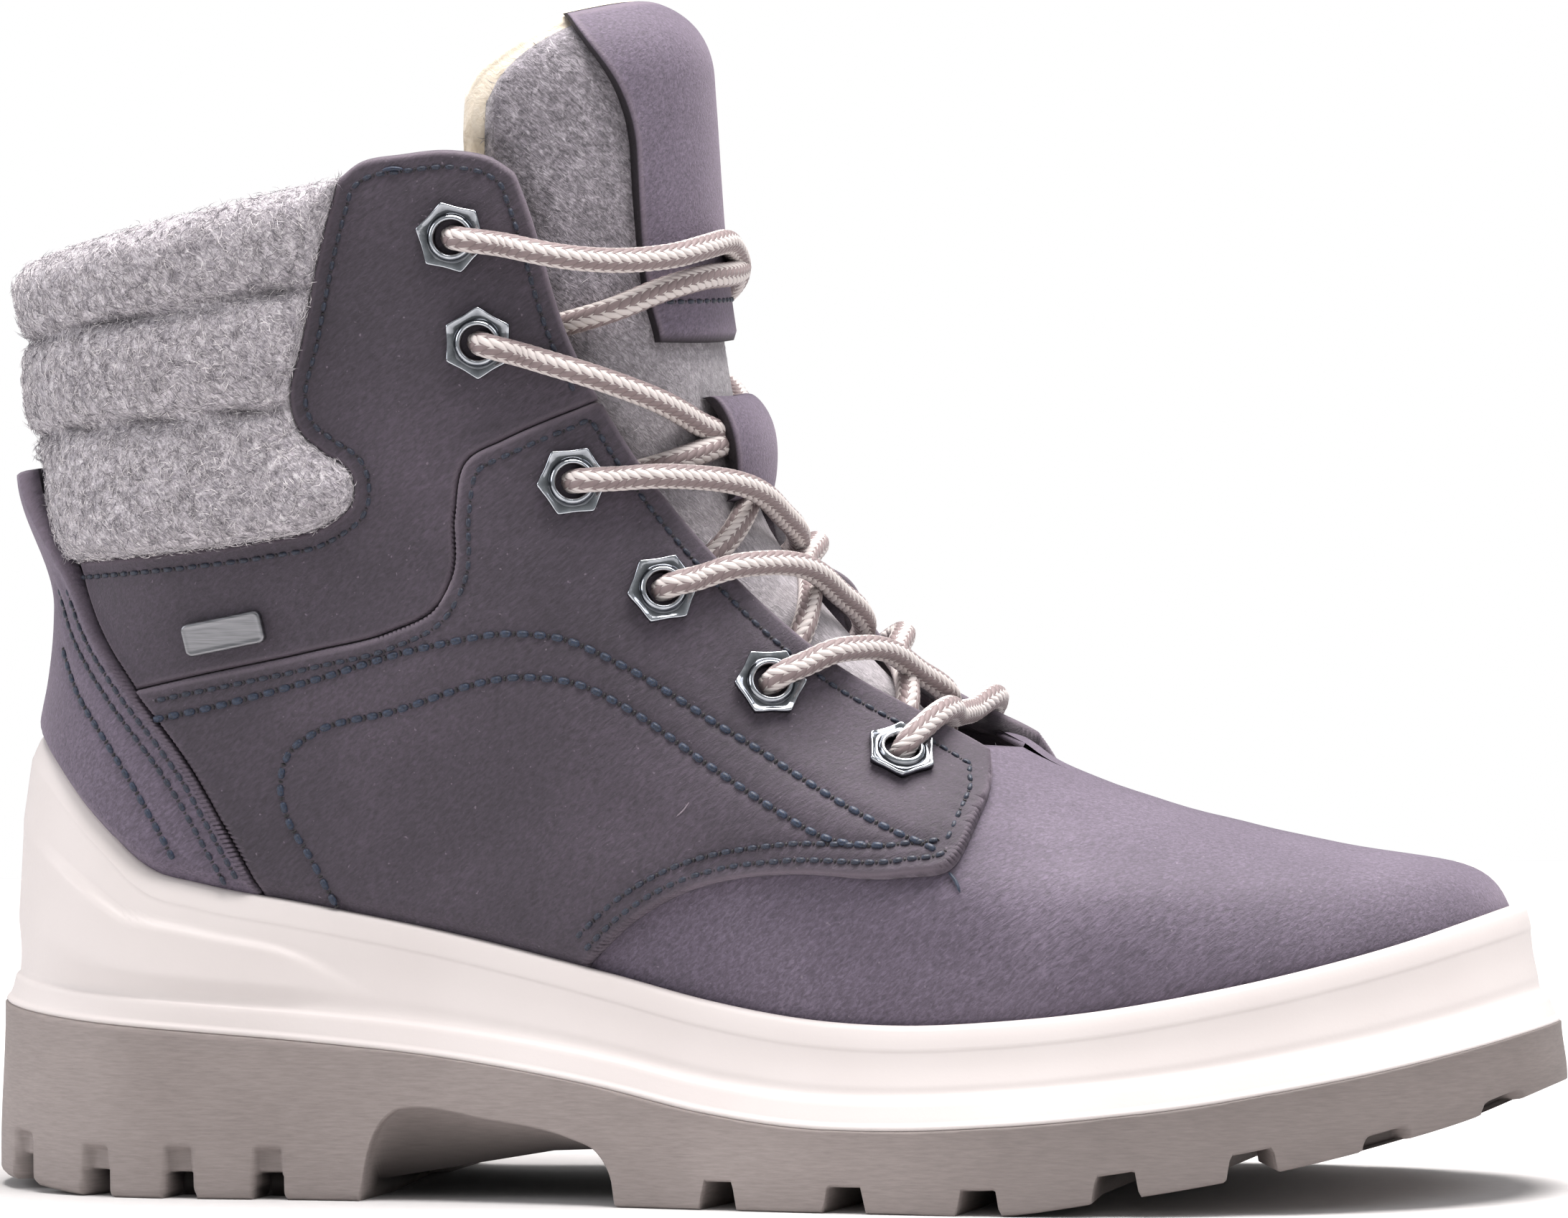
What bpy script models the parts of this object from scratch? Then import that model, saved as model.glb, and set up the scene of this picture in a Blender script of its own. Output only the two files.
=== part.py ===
"""Right-foot lace-up winter boot, built as separate pieces round one last function.

The last is a stack of level rings. Each ring runs from the back line round both sides to the front
ridge, and a short table gives its ends, widths and end roundings. Upper, overlays, tongue and the
cup of the midsole are all cut from that function, so they follow each other at a fixed gap.
Design millimetres: x from the heel to the toe, y to the medial side, z up from the floor.
"""
import bpy
import bmesh
import numpy as np
from mathutils import Matrix, Vector

# Driving dimensions in millimetres
MM = 0.001
GAP = 0.3
WALL = 2.4
RING_POINTS = 32
LEVEL_STEP = 0.75
COLLAR_LEVEL = 8.88
END_POWER = 2.2
TOE_SWING = 7.0
SWING_FROM_X = 110.0
SWING_TO_X = 276.0
WAIST_PINCH_MEDIAL = 4.0
WAIST_PINCH_LATERAL = 1.2
WAIST_X = 118.0
WAIST_SPREAD = 48.0
COLLAR_BELLY = 2.5
BELLY_FROM_LEVEL = 6.0
BELLY_RUN = 3.0
WAIST_TOP_LEVEL = 5.0
WAIST_SOFT = 20.0
SWING_LIMIT = 1.1
WIDEN_FROM = 0.2
WIDEN_RUN = 0.55
CUT_ACROSS = 70.0
CUT_BEHIND_X = -20.0
CUT_ABOVE_Z = 240.0
SIDE_SPLIT = 4.0

# One row for each level of the last, from the footbed up to above the collar
LAST_COLUMNS = ("back_x", "back_z", "front_x", "front_z", "heel_half", "ball_half",
                "heel_round", "toe_round", "follow")
LAST_ROWS = (
    (15.0, 46.0, 275.0, 40.0, 28.0, 43.5, 32.0, 78.0, 1.00),
    (12.0, 60.0, 275.5, 50.0, 30.0, 45.0, 32.0, 76.0, 0.75),
    (11.3, 70.0, 268.0, 58.8, 30.8, 44.0, 33.0, 95.0, 0.45),
    (12.0, 81.0, 245.0, 63.3, 31.0, 40.5, 34.0, 112.0, 0.20),
    (14.0, 91.0, 215.0, 68.5, 31.5, 38.0, 35.0, 110.0, 0.00),
    (15.2, 101.0, 188.0, 79.5, 32.5, 37.0, 37.0, 95.0, 0.00),
    (15.3, 113.0, 165.0, 98.5, 34.0, 37.0, 40.0, 80.0, 0.00),
    (14.0, 131.0, 145.5, 124.0, 36.0, 37.5, 44.0, 66.0, 0.00),
    (12.6, 150.0, 138.0, 155.0, 37.5, 38.5, 47.0, 60.0, 0.00),
    (10.8, 166.0, 135.0, 194.0, 38.5, 39.0, 48.0, 58.0, 0.00),
    (9.0, 186.0, 134.0, 216.0, 39.5, 39.0, 48.0, 56.0, 0.00),
)

# Side-view heights of the sole at stations along the foot
SOLE_COLUMNS = ("x", "rim", "seam", "tread", "bed")
SOLE_ROWS = (
    (0.0, 84.0, 33.6, 2.2, 46.5),
    (12.0, 81.0, 32.4, 1.5, 46.0),
    (27.0, 67.0, 31.1, 0.0, 45.0),
    (37.0, 58.6, 30.4, 0.0, 44.2),
    (47.0, 55.8, 29.7, 0.0, 43.3),
    (66.0, 52.4, 28.3, 0.0, 41.3),
    (95.0, 47.0, 25.4, 0.0, 36.2),
    (124.0, 40.5, 20.8, 0.0, 29.5),
    (142.0, 36.2, 17.0, 0.0, 25.6),
    (161.0, 33.2, 14.7, 0.0, 22.6),
    (178.0, 32.4, 14.5, 0.0, 21.5),
    (197.0, 33.4, 15.5, 0.0, 22.2),
    (215.0, 35.4, 17.1, 2.5, 24.2),
    (231.0, 38.2, 19.0, 5.0, 27.0),
    (248.0, 41.9, 21.8, 8.2, 31.2),
    (263.0, 46.0, 24.6, 11.8, 35.4),
    (276.0, 50.5, 27.6, 15.6, 39.6),
    (288.0, 55.0, 30.8, 20.6, 44.0),
)

# Outer side of the midsole from rim to seam. Columns: share of the height down, outset from the last
MIDSOLE_ROWS = (
    (0.00, 1.5),
    (0.05, 2.6),
    (0.19, 3.2),
    (0.22, 2.9),
    (0.70, 4.8),
    (0.74, 6.0),
    (1.00, 7.7),
)
# Side of the outsole from seam to tread, with the same columns
OUTSOLE_ROWS = (
    (0.04, 8.1),
    (0.90, 9.0),
    (1.00, 8.3),
)
HEEL_FLARE = 0.33
TOE_FLARE = 0.08
HEEL_BULGE = 1.7
HEEL_BULGE_FROM_X = 40.0
HEEL_BULGE_TO_X = 95.0
CUP_CLEARANCE = 0.8
INSOLE_THICK = 4.0

# Tread notches, the same on both sides. Columns: place along the foot, width, height
HEEL_NOTCHES = (
    (11.0, 4.0, 9.0),
    (27.8, 4.4, 9.0),
    (44.0, 4.4, 9.0),
    (60.6, 4.6, 9.0),
)
FORE_NOTCHES = (
    (145.4, 7.5, 5.0),
    (169.0, 8.5, 4.6),
    (193.4, 8.5, 4.6),
    (216.5, 9.0, 4.6),
    (240.2, 9.0, 4.6),
    (262.0, 8.5, 4.6),
)
NOTCH_DEPTH = 3.5
NOTCH_OVERHANG = 2.0
GROOVE_HEIGHT = 4.0
GROOVE_REACH = 17.0
ARCH_OUTLINE = ((77.5, -3.0), (79.0, 8.0), (80.6, 13.5), (84.5, 17.0), (117.0, 11.8),
                (122.5, 9.4), (125.0, 5.0), (126.0, -3.0))

# Side-view outlines, as points of smooth curves on the last, each from its upper end
THROAT = ((103.5, 192.0), (108.9, 177.2), (117.0, 151.0), (128.3, 131.0), (143.9, 110.0),
          (160.2, 94.0), (177.6, 82.5), (187.1, 77.0))
THROAT_AHEAD = ((190.0, 80.5), (205.0, 100.0), (205.0, CUT_ABOVE_Z))
TONGUE_AHEAD = ((150.0, 212.6), (215.0, 66.0))
TONGUE_REAR = ((171.0, 66.0), (150.0, 80.0), (128.0, 102.0), (112.0, 128.0), (103.5, 155.0),
               (101.5, 178.0), (102.0, 193.0), (105.5, 203.5), (113.0, 210.6), (124.0, 212.6))
QUARTER_TOP = ((120.0, 141.2), (105.0, 134.7), (98.6, 131.2), (96.4, 122.0), (95.8, 111.0),
               (92.5, 105.2), (84.0, 101.0), (69.7, 97.6), (45.8, 92.7), (35.0, 90.2))
COUNTER_EDGE = ((17.8, 129.6), (20.0, 121.0), (22.6, 113.0), (27.0, 102.0), (35.0, 90.2),
                (42.3, 80.8), (53.6, 61.7), (57.6, 54.4))
FELT_EDGE = ((76.4, 181.0), (73.0, 169.8), (69.2, 153.1), (66.6, 140.9), (68.0, 136.6), (72.5, 132.6),
             (77.4, 129.0), (77.6, 124.0), (72.5, 120.0), (60.3, 117.2), (48.0, 115.6), (22.6, 113.0))
SHAFT_TOP = ((76.4, 181.0), (79.8, 183.6), (88.0, 185.2), (97.0, 185.8), (103.5, 184.4), (107.0, 182.0))
VAMP_SEAM = ((187.1, 77.0), (189.2, 73.0), (189.0, 67.0), (187.0, 61.8), (178.0, 60.4), (156.6, 59.8),
             (146.6, 58.2), (137.8, 55.0), (128.2, 49.8), (119.6, 42.4))
COUNTER_TOP_Z = 129.6
RIM_CLEARANCE = 0.9
RIM_END = 3.0
EDGE_INSET = 0.2
OUTLINE_STEPS = 2

# Layers over the upper. Columns: outer offset, lowest and highest level of its form
LAYERS = {
    "shaft": (1.6, 3.75, 9.25),
    "quarter": (2.2, 0.0, 8.25),
    "counter": (2.8, 0.0, 7.5),
}

# Felt collar: levels of its grooves at the back and ahead, and the bulge of its rolls
FELT_BOTTOM = 5.5
FELT_TOP = 9.05
FELT_GROOVES_BACK = (7.17, 8.1)
FELT_GROOVES_AHEAD = (7.5, 8.28)
FELT_AHEAD_TURN = 0.45
FELT_GROOVE = 3.4
FELT_ROLL = 6.6
FELT_ROWS_PER_ROLL = 3
FELT_SWELL_POWER = 0.7
CUP_ROWS = (0.3, 0.65, 1.0)

TONGUE_THICK = 6.5
TONGUE_DROP = 0.8
TONGUE_LEVELS = (3.75, 9.75)
TONGUE_EXTRA_LEVELS = (6.375, 7.125, 7.875)
TONGUE_REACH = 0.5
STRIP_LEVELS = (8.0, 8.5, 9.0, 9.5, 9.85)
STRIP_STATIONS = 4
STRIP_THICK = 1.3
LOOP_LEVELS = (7.08, 7.15, 7.26, 7.42, 7.57, 7.66)
LOOP_SHARE = 0.1
LOOP_POINTS = 5
LOOP_SEAT = 1.0
LOOP_BULGE = 5.4
LOOP_THICK = 1.4
LOOP_POWER = 0.35

# Eyelets from the top down. Columns: side-view x and z, turn of the flange in degrees, layer below
EYELETS = (
    (96.6, 170.5, -14.0, "shaft"),
    (100.9, 151.9, 30.0, "shaft"),
    (116.3, 127.0, 5.0, "quarter"),
    (131.7, 107.4, 8.0, "quarter"),
    (150.4, 90.3, 0.0, "quarter"),
    (173.5, 76.9, 20.0, "quarter"),
)
# Turned profile of an eyelet. Columns: radius, height, share of the six-sided form
EYELET_PROFILE = (
    (3.00, -3.0, 0.0),
    (3.60, -3.0, 0.0),
    (3.70, 0.0, 0.0),
    (6.00, 0.4, 1.0),
    (3.90, 1.4, 0.0),
)
EYELET_POINTS = 12
EYELET_WAIST = 0.07
EYELET_SEAT = 0.7
HOLE_RADIUS = 4.5
HOLE_SIDES = 6
HOLE_DEPTH = 14.0

LACE_RADIUS = 2.1
LACE_SAMPLES = 40
LACE_POINTS = 8
# Lace: each crossing runs from an eyelet to the next one down on the other side.
# Columns: direction in which the chord is lifted to the tongue, height of rest, gathering in the loop
LACE_CROSSINGS = (
    (10.0, 1.3, 1.0),
    (-7.0, -0.2, 2.0),
    (6.5, -0.2, 1.0),
    (27.0, -0.2, 1.0),
    (45.0, -0.2, 1.0),
)
BAR_LIFT_DEG = 56.0
LACE_ON_EYELET = 7.5
LACE_HOLD = 5.0
LACE_ON_FACING = 4.9
LACE_FALL = 0.25
LACE_END_CLEARANCE = 4.6

# First guess for the search of a side-view place on the last
START_LEVEL = 6.5
START_SHARE = 0.35

BADGE_PLACE = (52.7, 100.8)
BADGE_SIZE = (15.3, 5.9, 1.0)
BADGE_TURN_DEG = 11.0
BADGE_SEAT = 1.0
BADGE_EDGE = 0.4

COLOURS = {
    "outsole": (0.20, 0.18, 0.17),
    "midsole": (0.80, 0.76, 0.74),
    "insole": (0.75, 0.70, 0.62),
    "upper": (0.13, 0.115, 0.135),
    "tongue": (0.22, 0.22, 0.23),
    "leather": (0.14, 0.12, 0.145),
    "felt": (0.21, 0.21, 0.22),
    "eyelet": (0.35, 0.37, 0.40),
    "lace": (0.62, 0.57, 0.56),
    "badge": (0.42, 0.41, 0.42),
}
METALS = ("eyelet", "badge")
ROUGHNESS = 0.8
METAL_ROUGHNESS = 0.3


def clear_scene():
    for old in list(bpy.data.objects):
        bpy.data.objects.remove(old, do_unlink=True)


def new_collection(name):
    made = bpy.data.collections.new(name)
    bpy.context.scene.collection.children.link(made)
    return made


def columns(names, rows):
    return dict(zip(names, np.array(rows, float).T))


def smooth_through(knots, values, at):
    """Cubic curve through the knots, with each knot's slope taken from its two neighbours."""
    at = np.asarray(at, float)
    step = np.diff(knots)
    rise = np.diff(values) / step
    slope = np.empty_like(values)
    slope[1:-1] = (rise[:-1] * step[1:] + rise[1:] * step[:-1]) / (step[:-1] + step[1:])
    slope[0] = rise[0]
    slope[-1] = rise[-1]
    i = np.clip(np.searchsorted(knots, at, "right") - 1, 0, len(knots) - 2)
    t = (at - knots[i]) / step[i]
    start = (1 + 2 * t) * (1 - t) ** 2 * values[i] + t * (1 - t) ** 2 * step[i] * slope[i]
    end = t * t * (3 - 2 * t) * values[i + 1] + t * t * (t - 1) * step[i] * slope[i + 1]
    return start + end


def smooth_step(t):
    t = np.clip(t, 0.0, 1.0)
    return t * t * (3 - 2 * t)


LAST = columns(LAST_COLUMNS, LAST_ROWS)
SOLE = columns(SOLE_COLUMNS, SOLE_ROWS)
LEVELS = np.arange(len(LAST_ROWS), dtype=float)


def sole_line(name, x):
    return smooth_through(SOLE["x"], SOLE[name], x)


def round_end(distance, length):
    """Half-width share near a ring's end: a superellipse quarter, full after its length."""
    left = np.clip(1 - distance / length, 0.0, 1.0)
    return (1 - left ** END_POWER) ** (1 / END_POWER)


def last_surface(level, turn):
    """Point of the last: turn is -1 at the ridge, by the lateral side to 0 at the back, then to 1."""
    level, turn = np.broadcast_arrays(np.asarray(level, float), np.asarray(turn, float))
    row = {name: smooth_through(LEVELS, LAST[name], level) for name in LAST_COLUMNS}
    along = (1 - np.cos(np.pi * np.abs(turn))) / 2
    x = row["back_x"] + (row["front_x"] - row["back_x"]) * along
    widen = smooth_step((along - WIDEN_FROM) / WIDEN_RUN)
    half = row["heel_half"] * (1 - widen) + row["ball_half"] * widen
    half = half * round_end(x - row["back_x"], row["heel_round"])
    half = half * round_end(row["front_x"] - x, row["toe_round"])
    waist = np.exp(-((x - WAIST_X) / WAIST_SPREAD) ** 2)
    waist = waist * np.clip(1 - level / WAIST_TOP_LEVEL, 0.0, 1.0)
    pinch = np.where(turn > 0, WAIST_PINCH_MEDIAL, WAIST_PINCH_LATERAL)
    half = half - pinch * waist * np.minimum(1.0, half / WAIST_SOFT)
    swing = np.clip((x - SWING_FROM_X) / (SWING_TO_X - SWING_FROM_X), 0.0, SWING_LIMIT) ** 2
    y = np.sign(turn) * half + TOE_SWING * swing
    belly = COLLAR_BELLY * 4 * along * (1 - along) * np.clip((level - BELLY_FROM_LEVEL) / BELLY_RUN, 0.0, 1.0)
    plain = row["back_z"] + (row["front_z"] - row["back_z"]) * along + belly
    lift = (row["back_z"] - LAST["back_z"][0]) * (1 - along)
    lift = lift + (row["front_z"] - LAST["front_z"][0]) * along
    z = plain * (1 - row["follow"]) + (sole_line("bed", x) + lift) * row["follow"]
    return np.stack([x, y, z], axis=-1)


def last_normal(level, turn):
    small = 0.001
    turn = np.clip(turn, -1 + 2 * small, 1 - 2 * small)
    up = last_surface(level + small, turn) - last_surface(level - small, turn)
    round_ring = last_surface(level, turn + small) - last_surface(level, turn - small)
    normal = np.cross(up, round_ring)
    return normal / np.linalg.norm(normal, axis=-1, keepdims=True)


def on_last(level, turn, offset):
    level, turn = np.broadcast_arrays(np.asarray(level, float), np.asarray(turn, float))
    offset = np.broadcast_to(np.asarray(offset, float), level.shape)
    return last_surface(level, turn) + offset[..., None] * last_normal(level, turn)


TURNS = np.linspace(-1.0, 1.0, RING_POINTS, endpoint=False)
SOLE_RING = last_surface(1.0, TURNS)


def outset_ring(outset):
    """The sole's plan outline, a set distance outside the last and flared at heel and toe."""
    ahead = np.roll(SOLE_RING, -1, axis=0) - np.roll(SOLE_RING, 1, axis=0)
    normal = np.stack([-ahead[:, 1], ahead[:, 0]], axis=-1)
    normal = normal / np.linalg.norm(normal, axis=-1, keepdims=True)
    outward = np.sign((normal * (SOLE_RING[:, :2] - SOLE_RING[:, :2].mean(axis=0))).sum(axis=-1))
    normal = normal * outward[:, None]
    flare = np.where(normal[:, 0] > 0, TOE_FLARE, HEEL_FLARE)
    reach = outset * (1 + flare * normal[:, 0] ** 2)
    return SOLE_RING[:, :2] + reach[:, None] * normal, normal


OUTSOLE_EDGE, OUTSOLE_NORMAL = outset_ring(max(row[1] for row in OUTSOLE_ROWS))
CENTRE = np.append((OUTSOLE_EDGE.min(axis=0) + OUTSOLE_EDGE.max(axis=0)) / 2, 0.0)


def to_world(points):
    return (np.asarray(points, float) - CENTRE) * MM


def material(name):
    made = bpy.data.materials.new(name)
    made.use_nodes = True
    shader = made.node_tree.nodes["Principled BSDF"]
    shader.inputs["Base Color"].default_value = (*COLOURS[name], 1.0)
    metal = name in METALS
    shader.inputs["Metallic"].default_value = 1.0 if metal else 0.0
    shader.inputs["Roughness"].default_value = METAL_ROUGHNESS if metal else ROUGHNESS
    return made


def add_part(name, mesh, finish):
    made = bpy.data.objects.new(name, mesh)
    made.data.materials.append(finish)
    PARTS.objects.link(made)
    return made


def add_cutter(name, mesh):
    made = bpy.data.objects.new(name, mesh)
    made.hide_render = True
    made.display_type = "WIRE"
    CUTTERS.objects.link(made)
    return made


def tidy_mesh(name, build):
    """Mesh from a bmesh, with its faces turned outwards."""
    bmesh.ops.recalc_face_normals(build, faces=build.faces[:])
    mesh = bpy.data.meshes.new(name)
    build.to_mesh(mesh)
    build.free()
    return mesh


def grid_faces(rows, count, ring_closed):
    """Triangles between neighbouring rows of points, all split along the same diagonal."""
    last = count if ring_closed else count - 1
    faces = []
    for row in range(rows - 1):
        for i in range(last):
            j = (i + 1) % count
            low_i, low_j = row * count + i, row * count + j
            high_i, high_j = low_i + count, low_j + count
            faces.append((low_i, high_i, high_j))
            faces.append((low_i, high_j, low_j))
    return faces


def tube_mesh(name, rows):
    """Open surface through closed rings of points."""
    rows = np.asarray(rows)
    mesh = bpy.data.meshes.new(name)
    points = to_world(rows.reshape(-1, 3))
    mesh.from_pydata(points.tolist(), [], grid_faces(rows.shape[0], rows.shape[1], True))
    return mesh


def strip_faces(first, count):
    """Cross strips that close a ring: its lateral half joined to its medial half, back to front."""
    half = count // 2
    faces = [(first, first + 1, first + count - 1)]
    for i in range(1, half - 1):
        faces.append((first + i, first + i + 1, first + count - i - 1, first + count - i))
    faces.append((first + half - 1, first + half, first + half + 1))
    return faces


def lofted_solid(name, rings):
    """Closed solid through rings, its first and last ring closed by cross strips."""
    rings = np.asarray(rings)
    count = rings.shape[1]
    build = bmesh.new()
    corners = [build.verts.new(point) for point in to_world(rings.reshape(-1, 3))]
    faces = grid_faces(rings.shape[0], count, True)
    faces = faces + strip_faces(0, count) + strip_faces((rings.shape[0] - 1) * count, count)
    for face in faces:
        build.faces.new([corners[i] for i in face])
    return tidy_mesh(name, build)


def smooth_path(points, steps=OUTLINE_STEPS):
    """Smooth curve through a few side-view points."""
    points = np.array(points, float)
    run = np.append(0.0, np.cumsum(np.linalg.norm(np.diff(points, axis=0), axis=1)))
    at = np.interp(np.arange((len(points) - 1) * steps + 1) / steps, np.arange(len(points)), run)
    return np.stack([smooth_through(run, points[:, k], at) for k in range(2)], axis=-1)


def prism(name, outline, y_from, y_to):
    """Cutter: a side-view outline carried across the boot."""
    build = bmesh.new()
    near = [build.verts.new(to_world((x, y_from, z))) for x, z in outline]
    face = build.faces.new(near)
    carried = bmesh.ops.extrude_face_region(build, geom=[face])
    moved = [item for item in carried["geom"] if isinstance(item, bmesh.types.BMVert)]
    bmesh.ops.translate(build, verts=moved, vec=Vector((0.0, (y_to - y_from) * MM, 0.0)))
    return add_cutter(name, tidy_mesh(name, build))


def boolean(piece, cutter, operation):
    cut = piece.modifiers.new(cutter.name, "BOOLEAN")
    cut.operation = operation
    cut.object = cutter
    cut.solver = "EXACT"


def solidify(piece, thickness, side):
    wall = piece.modifiers.new("wall", "SOLIDIFY")
    wall.thickness = thickness * MM
    wall.offset = side
    wall.use_even_offset = True


def rim_level(turn):
    """Level at which the last crosses the midsole's rim, found by halving."""
    low = np.zeros_like(turn)
    high = np.full_like(turn, 5.0)
    for _ in range(40):
        middle = (low + high) / 2
        point = last_surface(middle, turn)
        below = point[..., 2] < sole_line("rim", point[..., 0])
        low = np.where(below, middle, low)
        high = np.where(below, high, middle)
    return (low + high) / 2


def side_ring(down, outset, upper_line, lower_line, upper_x):
    """Ring on the sole's side: a share of the way down between two side-view lines."""
    plan, normal = outset_ring(outset)
    top = sole_line(upper_line, upper_x)
    z = top + (sole_line(lower_line, plan[:, 0]) - top) * down
    return np.column_stack([plan, z])


def heel_share(x):
    return smooth_step((HEEL_BULGE_TO_X - x) / (HEEL_BULGE_TO_X - HEEL_BULGE_FROM_X))


def make_midsole():
    """Cup: floor, inner wall a small clearance off the upper, rim, then the outer side's profile."""
    top = rim_level(TURNS)
    floor = on_last(0.0 * top, TURNS, CUP_CLEARANCE)
    floor[:, 2] = sole_line("bed", floor[:, 0]) - CUP_CLEARANCE
    rings = [floor]
    for share in CUP_ROWS:
        rings.append(on_last(top * share, TURNS, CUP_CLEARANCE))
    rim_x = rings[-1][:, 0]
    bulge = HEEL_BULGE * heel_share(rim_x)
    for down, outset in MIDSOLE_ROWS:
        plan_outset = outset + bulge * np.sin(np.pi * down)
        rings.append(side_ring(down, plan_outset, "rim", "seam", rim_x))
    piece = add_part("midsole", lofted_solid("midsole", rings), material("midsole"))
    piece.data.shade_smooth()
    return piece


def notch_boxes(name, rows, depth, height_limit):
    """Cutter of one box a notch, on both edges, standing square to the outline."""
    build = bmesh.new()
    half = RING_POINTS // 2
    for x, width, height in rows:
        for side in (slice(0, half), slice(half, RING_POINTS)):
            edge = OUTSOLE_EDGE[side]
            i = int(np.argmin(np.abs(edge[:, 0] - x)))
            order = np.argsort(edge[:, 0])
            y = np.interp(x, edge[order, 0], edge[order, 1])
            normal = OUTSOLE_NORMAL[side][i]
            tall = min(height, height_limit)
            floor = float(sole_line("tread", x))
            turn = Matrix.Rotation(np.arctan2(normal[1], normal[0]), 4, "Z")
            inward = (depth - NOTCH_OVERHANG) / 2
            centre = (x - inward * normal[0], y - inward * normal[1], floor + tall / 2 - NOTCH_OVERHANG)
            size = (depth + NOTCH_OVERHANG, width, tall + 2 * NOTCH_OVERHANG)
            scale = Matrix.Diagonal((*(np.array(size) * MM), 1.0))
            place = Matrix.Translation(to_world(centre)) @ turn @ scale
            bmesh.ops.create_cube(build, size=1.0, matrix=place)
    return add_cutter(name, tidy_mesh(name, build))


def make_outsole():
    """Loft from the seam to the tread, with the arch, side notches and tread grooves cut out."""
    seam_plan, normal = outset_ring(MIDSOLE_ROWS[-1][1])
    top = np.column_stack([seam_plan, sole_line("seam", seam_plan[:, 0]) - GAP])
    rings = [top]
    for down, outset in OUTSOLE_ROWS:
        rings.append(side_ring(down, outset, "seam", "tread", seam_plan[:, 0]))
    rings[1][:, 2] -= GAP
    piece = add_part("outsole", lofted_solid("outsole", rings), material("outsole"))
    boolean(piece, prism("arch_cutter", ARCH_OUTLINE, -CUT_ACROSS, CUT_ACROSS), "DIFFERENCE")
    notches = HEEL_NOTCHES + FORE_NOTCHES
    tallest = max(row[2] for row in notches)
    boolean(piece, notch_boxes("notch_cutter", notches, NOTCH_DEPTH, tallest), "DIFFERENCE")
    grooves = HEEL_NOTCHES[1:] + FORE_NOTCHES
    boolean(piece, notch_boxes("groove_cutter", grooves, GROOVE_REACH, GROOVE_HEIGHT), "DIFFERENCE")
    return piece


def make_insole():
    inset = -(WALL + 2 * GAP)
    low = on_last(0.0 * TURNS, TURNS, inset)
    low[:, 2] = sole_line("bed", low[:, 0]) - CUP_CLEARANCE + GAP
    high = low + np.array([0.0, 0.0, INSOLE_THICK])
    return add_part("insole", lofted_solid("insole", [low, high]), material("insole"))


def throat_outline():
    curve = smooth_path(THROAT)
    return np.vstack([curve, THROAT_AHEAD, [(curve[0][0], CUT_ABOVE_Z)]])


def make_upper():
    """Open tube of level rings with an inward wall, then the throat is cut out of it."""
    levels = np.append(np.arange(0.0, COLLAR_LEVEL, LEVEL_STEP), COLLAR_LEVEL)
    rows = on_last(levels[:, None], TURNS[None, :], 0.0)
    piece = add_part("upper", tube_mesh("upper", rows), material("upper"))
    solidify(piece, WALL, -1.0)
    boolean(piece, prism("throat_cutter", throat_outline(), -CUT_ACROSS, CUT_ACROSS), "DIFFERENCE")
    piece.data.shade_smooth()
    return piece


def open_grid_mesh(name, rows):
    rows = np.asarray(rows)
    mesh = bpy.data.meshes.new(name)
    points = to_world(rows.reshape(-1, 3))
    mesh.from_pydata(points.tolist(), [], grid_faces(rows.shape[0], rows.shape[1], False))
    return mesh


def front_turns():
    """The ring's own stations ahead of the ankle, in order from the medial to the lateral side."""
    return np.concatenate([TURNS[TURNS >= TONGUE_REACH], TURNS[TURNS <= -TONGUE_REACH]])


def make_tongue():
    """Strip inside the throat with the thickness of felt and fleece, cut to its side-view outline."""
    levels = layer_levels(*TONGUE_LEVELS)
    levels = np.sort(np.append(levels, TONGUE_EXTRA_LEVELS))
    rows = on_last(levels[:, None], front_turns()[None, :], -(WALL + TONGUE_DROP))
    piece = add_part("tongue", open_grid_mesh("tongue", rows), material("tongue"))
    solidify(piece, TONGUE_THICK, -1.0)
    outline = np.vstack([smooth_path(TONGUE_REAR), TONGUE_AHEAD])
    boolean(piece, prism("tongue_cutter", outline, -CUT_ACROSS, CUT_ACROSS), "INTERSECT")
    piece.data.shade_smooth()
    return piece


def shell_solid(name, levels, inner, outer):
    """Closed tube between two offset forms of the last, with a rim at its top and bottom."""
    outside = on_last(levels[:, None], TURNS[None, :], outer)
    inside = on_last(levels[:, None], TURNS[None, :], inner)
    count = RING_POINTS
    size = len(levels) * count
    build = bmesh.new()
    points = to_world(np.concatenate([outside, inside]).reshape(-1, 3))
    corners = [build.verts.new(point) for point in points]
    sides = grid_faces(len(levels), count, True)
    faces = sides + [tuple(i + size for i in face) for face in sides]
    for first in (0, size - count):
        for i in range(count):
            j = (i + 1) % count
            faces.append((first + i, first + j, first + j + size, first + i + size))
    for face in faces:
        build.faces.new([corners[i] for i in face])
    return tidy_mesh(name, build)


def layer_levels(low, high):
    return np.append(np.arange(low, high, LEVEL_STEP), high)


def stretch(curve, high, low):
    """Part of a falling curve between two heights."""
    inside = curve[(curve[:, 1] < high) & (curve[:, 1] > low)]
    ends = [[np.interp(z, curve[::-1, 1], curve[::-1, 0]), z] for z in (high, low)]
    return np.vstack([ends[0], inside, ends[1]])


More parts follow.
